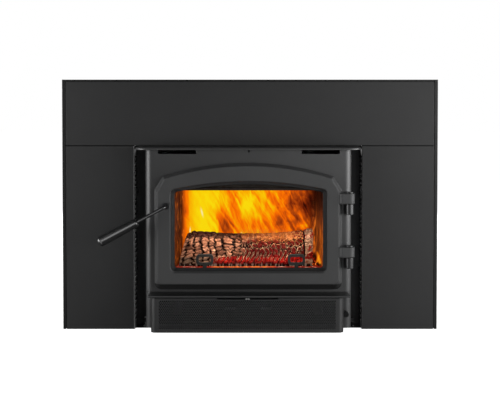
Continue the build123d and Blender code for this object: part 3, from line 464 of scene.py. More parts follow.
def rope():
    """Knitted glass rope, flattened in its groove."""
    k = Mat("rope_gasket")
    v = k.mapping(rot=(0, math.radians(45), 0))
    w1 = k.node("ShaderNodeTexWave", wave_type="BANDS", bands_direction="X")
    k.put(w1.inputs["Vector"], v)
    w1.inputs["Scale"].default_value = 110.0
    w1.inputs["Distortion"].default_value = 1.0
    w2 = k.node("ShaderNodeTexWave", wave_type="BANDS", bands_direction="Z")
    k.put(w2.inputs["Vector"], v)
    w2.inputs["Scale"].default_value = 110.0
    w2.inputs["Distortion"].default_value = 1.0
    knit = k.math("MAXIMUM", w1.outputs["Fac"], w2.outputs["Fac"])
    base = k.mix(k.noise(30.0, 4.0, 0.6), (0.055, 0.052, 0.05), (0.16, 0.15, 0.14))
    base = k.mix(knit, (0.02, 0.02, 0.02), base)
    return k.done(k.bsdf(Base_Color=base, Roughness=0.95, Normal=k.bump(knit, 0.0008, 0.8)))


def ceramic_glass():
    """Clear glass: faint warm haze, reflection by Fresnel."""
    k = Mat("ceramic_glass")
    fres = k.node("ShaderNodeFresnel")
    fres.inputs["IOR"].default_value = 1.35
    haze = k.smooth(k.noise(6.0, 4.0, 0.6), 0.45, 0.8, 0.0, 0.02)
    clear = k.node("ShaderNodeBsdfTransparent")
    clear.inputs["Color"].default_value = (0.985, 0.975, 0.96, 1.0)
    r = k.math("ADD", k.math("MULTIPLY", k.noise(40.0, 3.0, 0.5), 0.03), 0.03)
    n = k.bump(k.noise(12.0, 2.0, 0.4), 0.0002, 0.08)
    gl = k.bsdf(Base_Color=(0.004, 0.004, 0.004), Roughness=r, Normal=n, IOR=1.35)
    fac = k.math("ADD", k.math("MULTIPLY", fres.outputs[0], 0.45), haze)
    mx = k.node("ShaderNodeMixShader")
    k.put(mx.inputs[0], fac)
    k.put(mx.inputs[1], clear.outputs[0])
    k.put(mx.inputs[2], gl)
    return k.done(mx.outputs[0])


M["vermiculite"] = vermiculite()
M["rope"] = rope()
M["glass"] = ceramic_glass()

FINISH = {
    "panel": ["surround_top_panel", "surround_left_panel", "surround_right_panel"],
    "trim": ["edge_trims"],
    "recess": ["closure_strips", "surround_brackets", "levelling_brackets"],
    "seam": ["panel_joining_plates"],
    "stove": ["body_front_shell", "top_plate", "ash_lip", "blower_housing", "flue_collar"],
    "door": ["door_frame", "door_hinge_lugs"],
    "hinge": ["body_hinge_knuckles", "hinge_pins"],
    "andiron": ["andirons"],
    "grille": ["blower_grille"],
    "galv": ["casing_left", "casing_right", "casing_back", "casing_top"],
    "blower": ["blower_scrolls", "blower_wheels", "air_inlet_box", "casing_base"],
    "steel": ["firebox_floor", "firebox_side_plates", "firebox_back", "firebox_roof", "firebox_stands",
              "air_wash_deflector", "air_valve_plate", "glass_clips", "latch_cam", "latch_catch"],
    "stainless": ["secondary_air_tubes"],
    "brick": ["floor_bricks", "side_bricks", "back_bricks"],
    "vermiculite": ["baffle_board"],
    "glass": ["door_glass"],
    "rope": ["door_gasket", "glass_gasket"],
    "gasket_rod": ["blower_shaft"],
    "bronze": ["hinge_washers"],
    "zinc": ["latch_nut"],
    "bolt": ["levelling_bolts"],
    "oxide": ["surround_screws", "glass_clip_screws", "handle_bushing"],
    "lever": ["air_control_lever"],
    "rod": ["handle_rod"],
    "grip": ["handle_grip"],
    "knob": ["fan_speed_knob"],
    "control": ["fan_speed_control"],
    "rubber": ["power_cord_grommet"],
    "motor": ["blower_motor"],
}
for key, names in FINISH.items():
    for name in names:
        o = nodes[name]
        o.data.materials.clear()
        o.data.materials.append(M[key])


# -------------------------------------------------- seeded noise for meshes
def lattice(ix, iy, seed):
    n = (ix.astype(np.int64) * 374761393 + iy.astype(np.int64) * 668265263 + seed * 1274126177) & 0xFFFFFFFF
    n = ((n ^ (n >> 13)) * 1274126177) & 0xFFFFFFFF
    n = n ^ (n >> 16)
    return (n & 0xFFFFFFFF) / 4294967295.0


def vnoise(x, y, seed=0):
    x, y = np.broadcast_arrays(np.asarray(x, float), np.asarray(y, float))
    ix, iy = np.floor(x), np.floor(y)
    fx, fy = x - ix, y - iy
    fx, fy = fx * fx * (3 - 2 * fx), fy * fy * (3 - 2 * fy)
    a, b = lattice(ix, iy, seed), lattice(ix + 1, iy, seed)
    c, d = lattice(ix, iy + 1, seed), lattice(ix + 1, iy + 1, seed)
    return (a * (1 - fx) + b * fx) * (1 - fy) + (c * (1 - fx) + d * fx) * fy


def fbm(x, y, seed=0, octaves=4):
    total, amp, norm = 0.0, 1.0, 0.0
    for i in range(octaves):
        total = total + amp * vnoise(np.asarray(x) * 2 ** i, np.asarray(y) * 2 ** i, seed + 17 * i)
        norm += amp
        amp *= 0.5
    return total / norm


def cells(u, v, seed, jitter=0.75):
    """Nearest and second nearest seed of a jittered grid: F1, F2 and the cell's own number."""
    iu, iv = np.floor(u), np.floor(v)
    f1 = np.full(u.shape, 9.0)
    f2 = np.full(u.shape, 9.0)
    cid = np.zeros(u.shape)
    for du in (-1, 0, 1):
        for dv in (-1, 0, 1):
            cu, cv = iu + du, iv + dv
            pu = cu + 0.5 + (lattice(cu, cv, seed) - 0.5) * jitter
            pv = cv + 0.5 + (lattice(cu, cv, seed + 5) - 0.5) * jitter
            d = np.hypot(u - pu, v - pv)
            near = d < f1
            f2 = np.where(near, f1, np.minimum(f2, d))
            cid = np.where(near, lattice(cu, cv, seed + 9), cid)
            f1 = np.where(near, d, f1)
    return f1, f2, cid


def step(x, lo, hi):
    t = np.clip((x - lo) / (hi - lo), 0, 1)
    return t * t * (3 - 2 * t)


def mesh_object(name, verts, faces, attrs=None, smooth=True):
    me = bpy.data.meshes.new(name)
    me.from_pydata([tuple(v) for v in verts], [], [tuple(f) for f in faces])
    me.update()
    for key, values in (attrs or {}).items():
        a = me.attributes.new(key, "FLOAT", "POINT")
        a.data.foreach_set("value", np.asarray(values, np.float32))
    if smooth:
        me.polygons.foreach_set("use_smooth", [True] * len(me.polygons))
    o = bpy.data.objects.new(name, me)
    scene.collection.objects.link(o)
    return o


def grid_faces(nu, nv, wrap_v=False):
    out = []
    for i in range(nu - 1):
        for j in range(nv if wrap_v else nv - 1):
            k = (j + 1) % nv
            out.append((i * nv + j, i * nv + k, (i + 1) * nv + k, (i + 1) * nv + j))
    return out


# -------------------------------------------------------------------- log
def section(n):
    """Points round the split log's cross-section, as (d, z) in mm, evenly spaced and rounded."""
    pts = np.array([(-20, 181.5), (14, 181.5), (29, 214), (29.5, 240), (28.5, 268), (21, 290), (8, 303), (-18, 311),
                    (-40, 313), (-72, 303), (-92, 280), (-103, 250), (-103, 206), (-86, 182), (-50, 181.5)], float)
    pts = np.vstack([pts, pts[:1]])
    seg = np.hypot(*np.diff(pts, axis=0).T)
    t = np.concatenate([[0], np.cumsum(seg)])
    s = np.linspace(0, t[-1], n, endpoint=False)
    p = np.stack([np.interp(s, t, pts[:, 0]), np.interp(s, t, pts[:, 1])], 1)
    for _ in range(max(1, n // 60)):
        p = 0.25 * np.roll(p, 1, 0) + 0.5 * p + 0.25 * np.roll(p, -1, 0)
    return p, s, t[-1]


def build_log():
    nu, nv = 480, 250
    sec, arc, girth = section(nv)
    u = np.linspace(0, 1, nu)
    U, A = np.meshgrid(u, arc, indexing="ij")
    D0 = np.broadcast_to(sec[:, 0], U.shape)
    Z0 = np.broadcast_to(sec[:, 1], U.shape)
    tangent = np.roll(sec, -1, 0) - np.roll(sec, 1, 0)
    nd, nz = tangent[:, 1], -tangent[:, 0]
    ln = np.hypot(nd, nz)
    nd, nz = nd / ln, nz / ln
    xl = np.interp(Z0, [181, 214, 306, 314], [-226.0, -226.0, -206.0, -202.0])
    xr = np.interp(Z0, [181, 250, 314], [198.0, 199.5, 202.0])
    X = xl + U * (xr - xl)
    ztop = np.interp(X, [-229, -206, -182, -150, -100, -60, 70, 120, 160, 203],
                     [302, 306, 314, 313.5, 309, 306.5, 307.5, 311, 316, 325])
    grow = (ztop - 181.5) / (313.0 - 181.5)
    Z = 181.5 + (Z0 - 181.5) * grow
    D = D0.copy()

    # height on the visible front, 0 at the foot and 1 at the top edge
    front = step(D0, -30, 20)
    h = (Z - 205.0) / 100.0
    lim = -18.0 - 98.0 * (1 - step(h, 0.28, 0.38))
    right = step(X - lim + 30 * (fbm(X / 30, A / 24, 3) - 0.5), -12, 12)

    # left part: leaning columns of stacked blocks, pinched where one block meets the next
    lean = 0.30 * np.clip((-120 - X) / 100, 0, 1) * (Z - 205)
    wob = 26.0 * (fbm(A / 26.0, X / 55.0, 11) - 0.5) + 9.0 * (vnoise(A / 7.0, X / 26.0, 12) - 0.5)
    wob = wob + 9.0 * (vnoise(X / 34.0, A / 90.0, 13) - 0.5)
    cu = (X - lean + wob + 400.0) / 26.5
    icol = np.floor(cu)
    eu = np.abs(cu - icol - 0.5) * 2.0
    tall = 9.5 + 7.0 * lattice(icol, icol * 0, 35)
    cv = A / tall + 3.0 * lattice(icol, icol * 0, 15) + 0.9 * (vnoise(X / 9.0, A / 30.0, 14) - 0.5)
    irow = np.floor(cv)
    rv = np.abs(cv - irow - 0.5) * 2.0
    width = 0.86 - 0.30 * rv ** 3 + 0.40 * (vnoise(A / 4.2, X / 8.0, 16) - 0.5)
    gap_l = step(eu, width - 0.09, width + 0.10)
    crease = step(rv, 0.76, 0.94) * step(vnoise(X / 12.0, A / 12.0, 17), 0.30, 0.50)
    solid_l = 1.0 - np.maximum(gap_l, 0.9 * crease)
    rim_l = np.clip(step(eu, width - 0.34, width - 0.08) + 0.7 * step(rv, 0.62, 0.86), 0, 1) * solid_l
    id_l = lattice(icol, irow, 18)

    # right part: upright scales with thin ash rims, slanting splits below
    f1, f2, cid = cells((X + 0.30 * (Z - 250) + 9 * (fbm(A / 11, X / 20, 19) - 0.5)) / 15.0,
                        A / 21.0 + 0.6 * (vnoise(X / 21.0, A / 50.0, 20) - 0.5), 21, 0.85)
    gap = f2 - f1
    sp = (X - 0.42 * (Z - 205) + 11 * (fbm(A / 11.0, X / 22.0, 22) - 0.5) + 400) / 13.5
    sl = np.abs(sp - np.floor(sp) - 0.5) * 2.0
    low = 1 - step(h, 0.40, 0.56)
    crack_r = 1 - step(gap, 0.05, 0.15)
    split_r = step(sl, 0.80, 0.93) * step(vnoise(X / 13.0, A / 12.0, 23), 0.25, 0.5)
    solid_r = 1 - np.maximum(crack_r * (1 - 0.6 * low), split_r * low)
    rim_r = step(gap, 0.10, 0.17) * (1 - step(gap, 0.22, 0.34)) * (1 - 0.65 * low)
    rim_r = rim_r * step(fbm(X / 9.0, A / 13.0, 36), 0.26, 0.42)
    rim_r = np.maximum(rim_r, low * step(sl, 0.52, 0.66) * (1 - step(sl, 0.74, 0.88))
                       * step(vnoise(X / 17.0, A / 14.0, 24), 0.20, 0.42) * (1 - 0.6 * step(h, 0.24, 0.16)))
    rim_r = np.maximum(rim_r, 0.85 * step(h, 0.80, 0.93) * step(fbm(X / 6.0, A / 9.0, 25), 0.46, 0.60))
    # end block on the right: pale, cracked across
    endb = step(X, 172, 176)
    ez = np.abs((Z / 13.0 + 0.5 * vnoise(X / 6, Z / 9, 26)) % 1.0 - 0.5) * 2.0
    ecrack = step(ez, 0.80, 0.97) * step(vnoise(X / 14.0, Z / 8.0, 27), 0.25, 0.5)
    seam = 1 - step(np.abs(X - 172.5 - 3 * (vnoise(Z / 8.0, Z * 0, 28) - 0.5)), 1.2, 3.2)

    solid = solid_l * (1 - right) + solid_r * right
    solid = solid * (1 - endb) + (1 - ecrack) * endb
    solid = np.minimum(solid, 1 - 0.9 * seam)
    rim = rim_l * (1 - right) + rim_r * right
    rim = rim * (1 - endb) + (0.6 + 0.4 * vnoise(X / 5.0, Z / 4.0, 29)) * endb
    fine = fbm(X / 3.1, A / 3.7, 31, 3)
    foot = (1 - step(h, 0.045, 0.13)) * front
    teeth = vnoise(X / 2.9, A / 22.0, 41)
    dome = (3.2 * np.maximum(eu, 0.8 * rv) ** 2.2) * (1 - right) + 2.4 * (1 - step(gap, 0.1, 0.6)) * right
    lift = 2.5 * (id_l * (1 - right) + cid * right)
    push = 8.0 * (1 - solid) + dome + 0.8 + lift + 1.5 * (1 - fine) + 0.9 * vnoise(X / 9.0, A / 8.0, 44)
    push = push + foot * (3.0 + 4.5 * teeth)
    push = np.clip(push, 0.2, 15.0)
    D = D - push * nd
    Z = Z - push * nz * np.where(nz > 0, 0.75, 0.3)
    Z = np.maximum(Z, 181.3)
    # ends pulled in a little where they are charred round
    tip = np.minimum(U, 1 - U)
    pull = 1.5 * np.exp(-tip * 60) * (0.5 + vnoise(A / 9.0, A * 0, 45))
    mid_d, mid_z = -38.0, 245.0
    D = D - (D - mid_d) * 0.025 * pull
    Z = Z - (Z - mid_z) * 0.02 * pull
    verts = np.stack([X / 1000, FACE_Y - D / 1000, Z / 1000], -1).reshape(-1, 3)
    faces = grid_faces(nu, nv, wrap_v=True)
    attrs = {"crack": solid.ravel(), "cell": (id_l * (1 - right) + cid * right).ravel(), "rim": rim.ravel(),
             "hot": (right * (1 - 0.8 * endb)).ravel(), "high": np.clip(h, -0.5, 1.5).ravel(), "fine": fine.ravel(),
             "foot": foot.ravel(), "teeth": teeth.ravel(), "along": X.ravel(), "endb": endb.ravel()}
    verts = list(map(tuple, verts))
    extra = {k: [] for k in attrs}
    # ends: rings that close to the middle, with saw marks, splits and growth rings
    for which, row in ((0, 0), (1, nu - 1)):
        ring0 = np.array(verts[row * nv:(row + 1) * nv])
        centre = ring0.mean(0)
        prev = [row * nv + j for j in range(nv)]
        rings = 16
        for r in range(1, rings + 1):
            f = 1 - r / (rings + 0.3)
            ring = centre + (ring0 - centre) * f
            ang = np.arctan2(ring[:, 2] - centre[2], ring[:, 1] - centre[1])
            rad = f
            chk = 1 - step(np.abs(np.sin(ang * 4.5 + 0.8 * rad + 0.6)), 0.0, 0.10)
            dep = 0.0012 * vnoise(ring[:, 1] * 300, ring[:, 2] * 300, 51 + which) + 0.004 * chk * (rad > 0.15)
            dep = dep + 0.0006 * np.sin(rad * 70)
            sign = 1.0 if which == 0 else -1.0
            ring[:, 0] = ring[:, 0] + sign * (0.0015 + dep)
            base = len(verts)
            verts += list(map(tuple, ring))
            now = [base + j for j in range(nv)]
            for j in range(nv):
                q = (prev[j], prev[(j + 1) % nv], now[(j + 1) % nv], now[j])
                faces.append(q if which == 1 else q[::-1])
            prev = now
            extra["crack"] += list(1 - 0.9 * chk * (rad > 0.15))
            extra["cell"] += list(vnoise(ring[:, 1] * 60, ring[:, 2] * 60, 53))
            extra["rim"] += list(0.4 * np.abs(np.sin(rad * 35 + 0 * ang)))
            extra["hot"] += [float(which) * 0.5] * nv
            extra["high"] += [0.6] * nv
            extra["fine"] += list(vnoise(ring[:, 1] * 500, ring[:, 2] * 500, 54))
            extra["foot"] += [0.0] * nv
            extra["teeth"] += [0.5] * nv
            extra["along"] += list(ring[:, 0] * 1000)
            extra["endb"] += [float(which)] * nv
        faces.append(tuple(prev) if which == 1 else tuple(prev[::-1]))
    for key in attrs:
        attrs[key] = list(attrs[key]) + extra[key]
    return mesh_object("split_log", verts, faces, attrs)


def log_material():
    k = Mat("charred_wood")
    crack, cell, rim = k.attr("crack"), k.attr("cell"), k.attr("rim")
    hot, high, fine, foot = k.attr("hot"), k.attr("high"), k.attr("fine"), k.attr("foot")
    teeth, along, endb = k.attr("teeth"), k.attr("along"), k.attr("endb")
    grain = k.noise(150.0, 5.0, 0.65, vec=k.mapping(scale=(1, 1, 1.8)))
    speck = k.noise(420.0, 3.0, 0.6)
    # ashy pink-tan blocks on the left, dark red char with pale rims on the right
    t = k.math("ADD", k.math("MULTIPLY", cell, 0.34), k.math("MULTIPLY", grain, 0.66))
    tan = k.ramp(t, [(0.24, (0.085, 0.036, 0.022)), (0.40, (0.20, 0.090, 0.056)), (0.56, (0.40, 0.20, 0.130)),
                     (0.74, (0.66, 0.37, 0.250))])
    grey = k.ramp(grain, [(0.3, (0.100, 0.068, 0.050)), (0.7, (0.27, 0.190, 0.140))])
    low = k.math("MULTIPLY", k.smooth(high, 0.36, 0.26), k.smooth(along, -118.0, -128.0))
    left = k.mix(low, tan, grey)
    left = k.mix(k.smooth(rim, 0.15, 0.9, 0.0, 0.80), left, (0.060, 0.024, 0.015))
    ember = k.ramp(k.math("ADD", k.math("MULTIPLY", speck, 0.4), k.math("MULTIPLY", grain, 0.6)),
                   [(0.3, (0.020, 0.003, 0.003)), (0.7, (0.085, 0.007, 0.005))])
    ash = k.ramp(grain, [(0.3, (0.16, 0.092, 0.060)), (0.7, (0.48, 0.32, 0.21))])
    right = k.mix(k.smooth(rim, 0.30, 0.62), ember, ash)
    base = k.mix(hot, left, right)
    # pale end block with red patches
    block = k.ramp(grain, [(0.3, (0.14, 0.075, 0.050)), (0.7, (0.46, 0.29, 0.20))])
    block = k.mix(k.smooth(k.noise(52.0, 3.0, 0.6, 0.5), 0.52, 0.58), block, (0.24, 0.010, 0.007))
    base = k.mix(endb, base, block)
    # burnt upper edge: maroon on the left, brown towards the middle
    top = k.math("MULTIPLY", k.smooth(high, 0.87, 1.0), k.smooth(along, 60.0, -10.0))
    burnt = k.mix(k.smooth(along, -140.0, -110.0), (0.030, 0.005, 0.004), (0.045, 0.016, 0.009))
    base = k.mix(k.math("MULTIPLY", top, 0.9), base, burnt)
    # painted shade over the upper left of the face
    soot_and_shade = k.math("MULTIPLY", k.smooth(high, 0.56, 0.74), k.smooth(along, 30.0, -10.0))
    base = k.mix(k.math("MULTIPLY", soot_and_shade, 0.60), base, k.mix(1.0, base, (0.34, 0.28, 0.24), "MULTIPLY"))
    fired = k.math("MULTIPLY", k.smooth(high, 0.62, 0.82), k.smooth(along, -10.0, 30.0))
    base = k.mix(k.math("MULTIPLY", fired, k.math("SUBTRACT", 1.0, endb)), base, k.mix(1.0, base, (1.0, 0.66, 0.36), "MULTIPLY"))
    base = k.mix(foot, base, k.mix(k.smooth(teeth, 0.50, 0.60), (0.006, 0.005, 0.005), (0.24, 0.22, 0.20)))
    base = k.mix(k.smooth(crack, 0.70, 0.25), base, (0.005, 0.003, 0.003))
    # glow in the right half and along the foot
    inner = k.math("MULTIPLY", k.smooth(crack, 0.5, 0.95), k.smooth(rim, 0.5, 0.1))
    band = k.math("MULTIPLY", k.smooth(high, 0.12, 0.18), k.smooth(high, 0.36, 0.26))
    glow = k.math("MULTIPLY", k.math("MULTIPLY", hot, inner), k.smooth(k.noise(30.0, 4.0, 0.6), 0.35, 0.62, 0.35, 0.8))
    glow = k.math("MULTIPLY", glow, k.smooth(high, 0.70, 0.30, 0.42, 0.62))
    glow = k.math("ADD", glow, k.math("MULTIPLY", k.math("MULTIPLY", k.math("MULTIPLY", band, hot), k.smooth(crack, 0.4, 0.9)), k.smooth(k.noise(60.0, 4.0, 0.6), 0.30, 0.60, 0.15, 0.62)))
    glow = k.math("MULTIPLY", glow, k.math("SUBTRACT", 1.0, k.math("MULTIPLY", endb, 0.85)))
    glow = k.math("MULTIPLY", glow, k.math("SUBTRACT", 1.0, foot))
    ecol = k.ramp(k.math("MULTIPLY", glow, k.smooth(speck, 0.2, 0.8, 0.75, 1.1)),
                  [(0.0, (0, 0, 0)), (0.3, (0.09, 0.001, 0.001)), (0.7, (0.30, 0.004, 0.003)), (1.0, (0.52, 0.012, 0.005))])
    # painted flame light on the face, added to the emission
    painted_flame_light = k.mix(1.0, base, (0.40, 0.31, 0.25), "MULTIPLY")
    ecol = k.mix(1.0, ecol, painted_flame_light, "ADD")
    n = k.bump(fine, 0.002, 0.4)
    n = k.bump(grain, 0.0015, 0.4, n)
    return k.done(k.bsdf(Base_Color=base, Roughness=0.92, Normal=n, Specular_IOR_Level=0.2,
                         Emission_Color=ecol, Emission_Strength=1.0))


log = build_log()
log.data.materials.append(log_material())
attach(log, "root")
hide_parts("fuel_log")


# ------------------------------------------------------------- ember bed
def build_bed():
    nx, ny = 260, 170
    xs = np.linspace(-243.5, 232.5, nx)
    ds = np.linspace(38.0, -326.0, ny)
    X, D = np.meshgrid(xs, ds, indexing="ij")
    base = 181.3
    coal = cells(X / 11.0 + 0.4 * vnoise(X / 9, D / 9, 61), D / 11.0 + 0.4 * vnoise(X / 9, D / 9, 62), 63, 0.9)
    lump = step(coal[1] - coal[0], 0.02, 0.45)
    ridge = np.exp(-((D - 34.5) / 3.2) ** 2)
    body = 8 + 15 * fbm(X / 70, D / 60, 64)
    edge = np.minimum(np.minimum(X + 243.5, 232.5 - X), np.minimum(38.0 - D, D + 326.0))
    edge = step(edge, 0.0, 9.0)
    Z = base + edge * (body * (0.45 + 0.55 * lump) + 5 * coal[2] * lump + 1.6 * fbm(X / 3, D / 3, 65, 2))
    front = 181.3 + (27.0 + 4.0 * (fbm(X / 6.0, D / 9.0, 67) - 0.5)) * step(ridge, 0.05, 0.8)
    Z = np.where(ridge > 0.05, np.maximum(Z, front), Z)
    Z = np.minimum(Z, 211.0)
    verts = np.stack([X / 1000, FACE_Y - D / 1000, Z / 1000], -1).reshape(-1, 3)
    hot = step(fbm(X / 26, D / 26, 66), 0.42, 0.66)
    along = step(X, -150, -90) * (1 - step(X, 50, 105))
    torn = 0.45 + 0.75 * fbm(X / 8.0, D / 40.0, 69)
    hot = np.maximum(hot * (1 - step(D, 20, 28)), ridge * (0.26 + 0.62 * along) * torn)
    lump = np.where(ridge > 0.3, 0.25 + 0.35 * fbm(X / 4.0, D / 6.0, 68), lump)
    return mesh_object("ember_bed", verts, grid_faces(nx, ny),
                       {"lump": lump.ravel(), "tone": coal[2].ravel(), "hot": hot.ravel()})


def bed_material():
    k = Mat("ember_bed")
    lump, tone, hot = k.attr("lump"), k.attr("tone"), k.attr("hot")
    speck = k.noise(300.0, 4.0, 0.65)
    base = k.ramp(k.math("ADD", k.math("MULTIPLY", tone, 0.5), k.math("MULTIPLY", speck, 0.5)),
                  [(0.3, (0.015, 0.010, 0.008)), (0.6, (0.10, 0.07, 0.055)), (0.85, (0.42, 0.36, 0.31))])
    base = k.mix(k.smooth(lump, 0.4, 0.1), base, (0.004, 0.003, 0.003))
    base = k.mix(k.smooth(hot, 0.1, 0.35), base, (0.020, 0.008, 0.005))
    g = k.math("MULTIPLY", hot, k.smooth(lump, 0.9, 0.25))
    ecol = k.ramp(g, [(0.0, (0, 0, 0)), (0.3, (0.30, 0.012, 0.003)), (0.6, (0.62, 0.13, 0.012)), (1.0, (0.66, 0.34, 0.05))])
    n = k.bump(speck, 0.002, 0.5)
    return k.done(k.bsdf(Base_Color=base, Roughness=0.95, Normal=n, Emission_Color=ecol, Emission_Strength=1.6))


bed = build_bed()
bed.data.materials.append(bed_material())
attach(bed, "root")


# ----------------------------------------------------------------- flames
def flame_sheet(name, x0, x1, z0, z1, d, bulge, seed, nx=90, nz=60):
    """A curved curtain of flame: it bows forward in the middle and ripples, more towards its top."""
    xs, zs = np.linspace(0, 1, nx), np.linspace(0, 1, nz)
    S, T = np.meshgrid(xs, zs, indexing="ij")
    X = x0 + (x1 - x0) * S
    Z = z0 + (z1 - z0) * T
    Dd = d + bulge * np.sin(S * math.pi) * (0.4 + 0.6 * T) + 14 * (fbm(S * 5, T * 2.5, seed) - 0.5) * T
    verts = np.stack([X / 1000, FACE_Y - Dd / 1000, Z / 1000], -1).reshape(-1, 3)
    return mesh_object(name, verts, grid_faces(nx, nz), {"s": S.ravel(), "t": T.ravel()})


def blob(k, v, px, py, d, rx, ry, tilt=0.0):
    """1 at a place in the fire, falling smoothly to 0 at rx, ry pixels round it."""
    x, _, z = at(px, py, d)
    s = 0.0032 * (3.0 - d) / 3.0
    m = k.mapping(loc=(x, 0, z), rot=(0, math.radians(tilt), 0), scale=(rx * s, 10.0, ry * s), vec=v, kind="TEXTURE")
    g = k.node("ShaderNodeTexGradient", gradient_type="QUADRATIC_SPHERE")
    k.put(g.inputs["Vector"], m)
    return g.outputs["Fac"]


FIRE = [(0.00, (0.004, 0.001, 0.0005)), (0.12, (0.030, 0.003, 0.001)), (0.24, (0.10, 0.009, 0.002)),
        (0.36, (0.25, 0.028, 0.003)), (0.48, (0.46, 0.066, 0.004)), (0.58, (0.80, 0.115, 0.002)),
        (0.68, (1.0, 0.18, 0.001)), (0.76, (1.0, 0.29, 0.001)), (0.84, (1.0, 0.44, 0.001)),
        (0.92, (1.0, 0.60, 0.002)), (1.00, (1.0, 0.74, 0.004))]


def fire_back():
    k = Mat("flame_back")
    d = -0.235
    flat = k.vec("MULTIPLY", k.obj, (1.0, 0.0, 1.0))
    # slow swirl, then finer tongues
    w1 = k.noise(7.0, 2.0, 0.5, vec=k.mapping(loc=(3, 0, 1), scale=(1, 1, 0.7), vec=flat), color=True)
    w2 = k.noise(26.0, 3.0, 0.55, vec=k.mapping(loc=(1, 0, 5), scale=(1, 1, 0.45), vec=flat), color=True)
    v = k.vec("ADD", flat, k.vec("SCALE", k.vec("SUBTRACT", w1, (0.5, 0.5, 0.5)), 0.030))
    v = k.vec("ADD", v, k.vec("SCALE", k.vec("SUBTRACT", w2, (0.5, 0.5, 0.5)), 0.020))
    v = k.vec("MULTIPLY", v, (1.0, 0.0, 1.0))
    # broad heat from left to right, in pixels of the picture
    x_l, x_r = at(174, 0, d)[0], at(324, 0, d)[0]
    s = k.math("DIVIDE", k.math("SUBTRACT", k.axis(0, v), x_l), x_r - x_l, clamp=True)
    stops = [(174, 0.22), (179, 0.30), (182, 0.56), (187, 0.68), (190, 0.84), (196, 0.93), (207, 0.97), (213, 0.90),
             (221, 0.74), (231, 0.70), (239, 0.71), (248, 0.76), (256, 0.77), (264, 0.73), (273, 0.68), (281, 0.63),
             (286, 0.54), (292, 0.45), (300, 0.40), (308, 0.31), (316, 0.24), (324, 0.12)]
    ramps = []
    for part in (stops[:14], stops[13:]):
        lo, hi = part[0][0], part[-1][0]
        f = k.math("DIVIDE", k.math("SUBTRACT", s, (lo - 174) / 150.0), (hi - lo) / 150.0, clamp=True)
        ramps.append(k.ramp(f, [((p - lo) / (hi - lo), q) for p, q in part], "EASE"))
    fire_glow = k.mix(k.math("GREATER_THAN", s, (264 - 174) / 150.0), ramps[0], ramps[1])
    fire_glow = k.axis(0, fire_glow)
    for (px, py, rx, ry, tilt, amount) in (
            (225, 221, 15, 24, -14, -0.27), (224, 229, 9, 13, 0, -0.18), (230, 231, 7, 9, 0, -0.16),
            (254, 224, 18, 12, 0, -0.10), (240, 228, 10, 8, 0, -0.04), (214, 224, 6, 14, -8, 0.12),
            (247, 202, 11, 17, -6, 0.22), (229, 221, 17, 17, -18, -0.10), (277, 220, 20, 16, 0, -0.09), (296, 222, 12, 12, 0, -0.06), (251, 221, 3.0, 14, 3, 0.10), (231, 193, 16, 9, 0, 0.05),
            (238, 219, 8, 22, -12, -0.10), (227, 194, 20, 13, 0, 0.04), (247, 203, 13, 21, 2, 0.07),
            (266, 222, 14, 15, 0, -0.06), (277, 222, 13, 20, 6, -0.19), (283, 196, 8, 14, 0, 0.10),
            (290, 201, 9, 10, 0, -0.14), (290, 214, 13, 9, 0, 0.10), (301, 224, 20, 11, 0, 0.34),
            (306, 225, 10, 8, 0, 0.16), (306, 203, 14, 14, 0, -0.22), (286, 229, 8, 9, 0, 0.10),
            (312, 215, 9, 16, 0, 0.06), (322, 198, 6, 14, 0, -0.20), (185, 209, 4.5, 11, 0, -0.18),
            (187, 225, 4, 14, -6, 0.12), (203, 231.5, 22, 2.4, 0, 0.12), (244, 231.8, 9, 1.8, 0, 0.34),
            (205, 216, 16, 24, 0, 0.05)):
        fire_glow = k.math("ADD", fire_glow, k.math("MULTIPLY", blob(k, v, px, py, d, rx, ry, tilt), amount))
    # streaks that follow the draught, leaning from upper left to lower right
    def drawn(size, turn, long, detail, dist=0.4):
        return k.noise(size, detail, 0.55, dist, vec=k.mapping(rot=(0, math.radians(turn), 0), scale=(1, 1, long), vec=v,
                                                               kind="TEXTURE"))

    rough = k.smooth(s, 0.58, 0.78, 0.10, 1.0)
    calm = k.math("SUBTRACT", 1.25, k.smooth(s, 0.30, 0.20, 0.25, 0.95))
    fire_glow = k.math("ADD", fire_glow, k.math("MULTIPLY", k.math("MULTIPLY", k.math("SUBTRACT", drawn(60.0, -27, 6.0, 3.0), 0.5), 0.30), calm))
    fire_glow = k.math("ADD", fire_glow, k.math("MULTIPLY", k.math("MULTIPLY", k.math("SUBTRACT", drawn(26.0, -18, 3.2, 3.0, 0.8), 0.5), 0.42), calm))
    puff = k.noise(34.0, 5.0, 0.62, 0.9, vec=v)
    fire_glow = k.math("ADD", fire_glow, k.math("MULTIPLY", k.math("MULTIPLY", k.math("SUBTRACT", puff, 0.5), 0.42), rough))
    # fine wisps
    for turn, size, gain in ((-33, 30.0, 0.14), (-21, 52.0, 0.10), (12, 40.0, 0.06)):
        w = drawn(size, turn, 7.0, 2.0)
        w = k.math("SUBTRACT", 1.0, k.math("ABSOLUTE", k.math("MULTIPLY", k.math("SUBTRACT", w, 0.5), 7.0)), clamp=True)
        fire_glow = k.math("ADD", fire_glow, k.math("MULTIPLY", k.math("MULTIPLY", k.math("SUBTRACT", w, 0.35), gain), calm))
    colour = k.ramp(fire_glow, FIRE)
    # white-hot streaks
    white = k.math("ADD", k.math("MULTIPLY", blob(k, flat, 201.6, 210.5, d, 1.9, 9.0, -14), 1.0),
                   k.math("MULTIPLY", blob(k, flat, 189.6, 229.0, d, 1.3, 6.5, 3), 1.2))
    white = k.math("ADD", white, k.math("MULTIPLY", blob(k, flat, 241.5, 231.5, d, 1.4, 3.0, 0), 0.6))
    colour = k.mix(k.smooth(white, 0.0, 0.8), colour, (1.0, 0.90, 0.42))
    em = k.node("ShaderNodeEmission")
    k.put(em.inputs["Color"], colour)
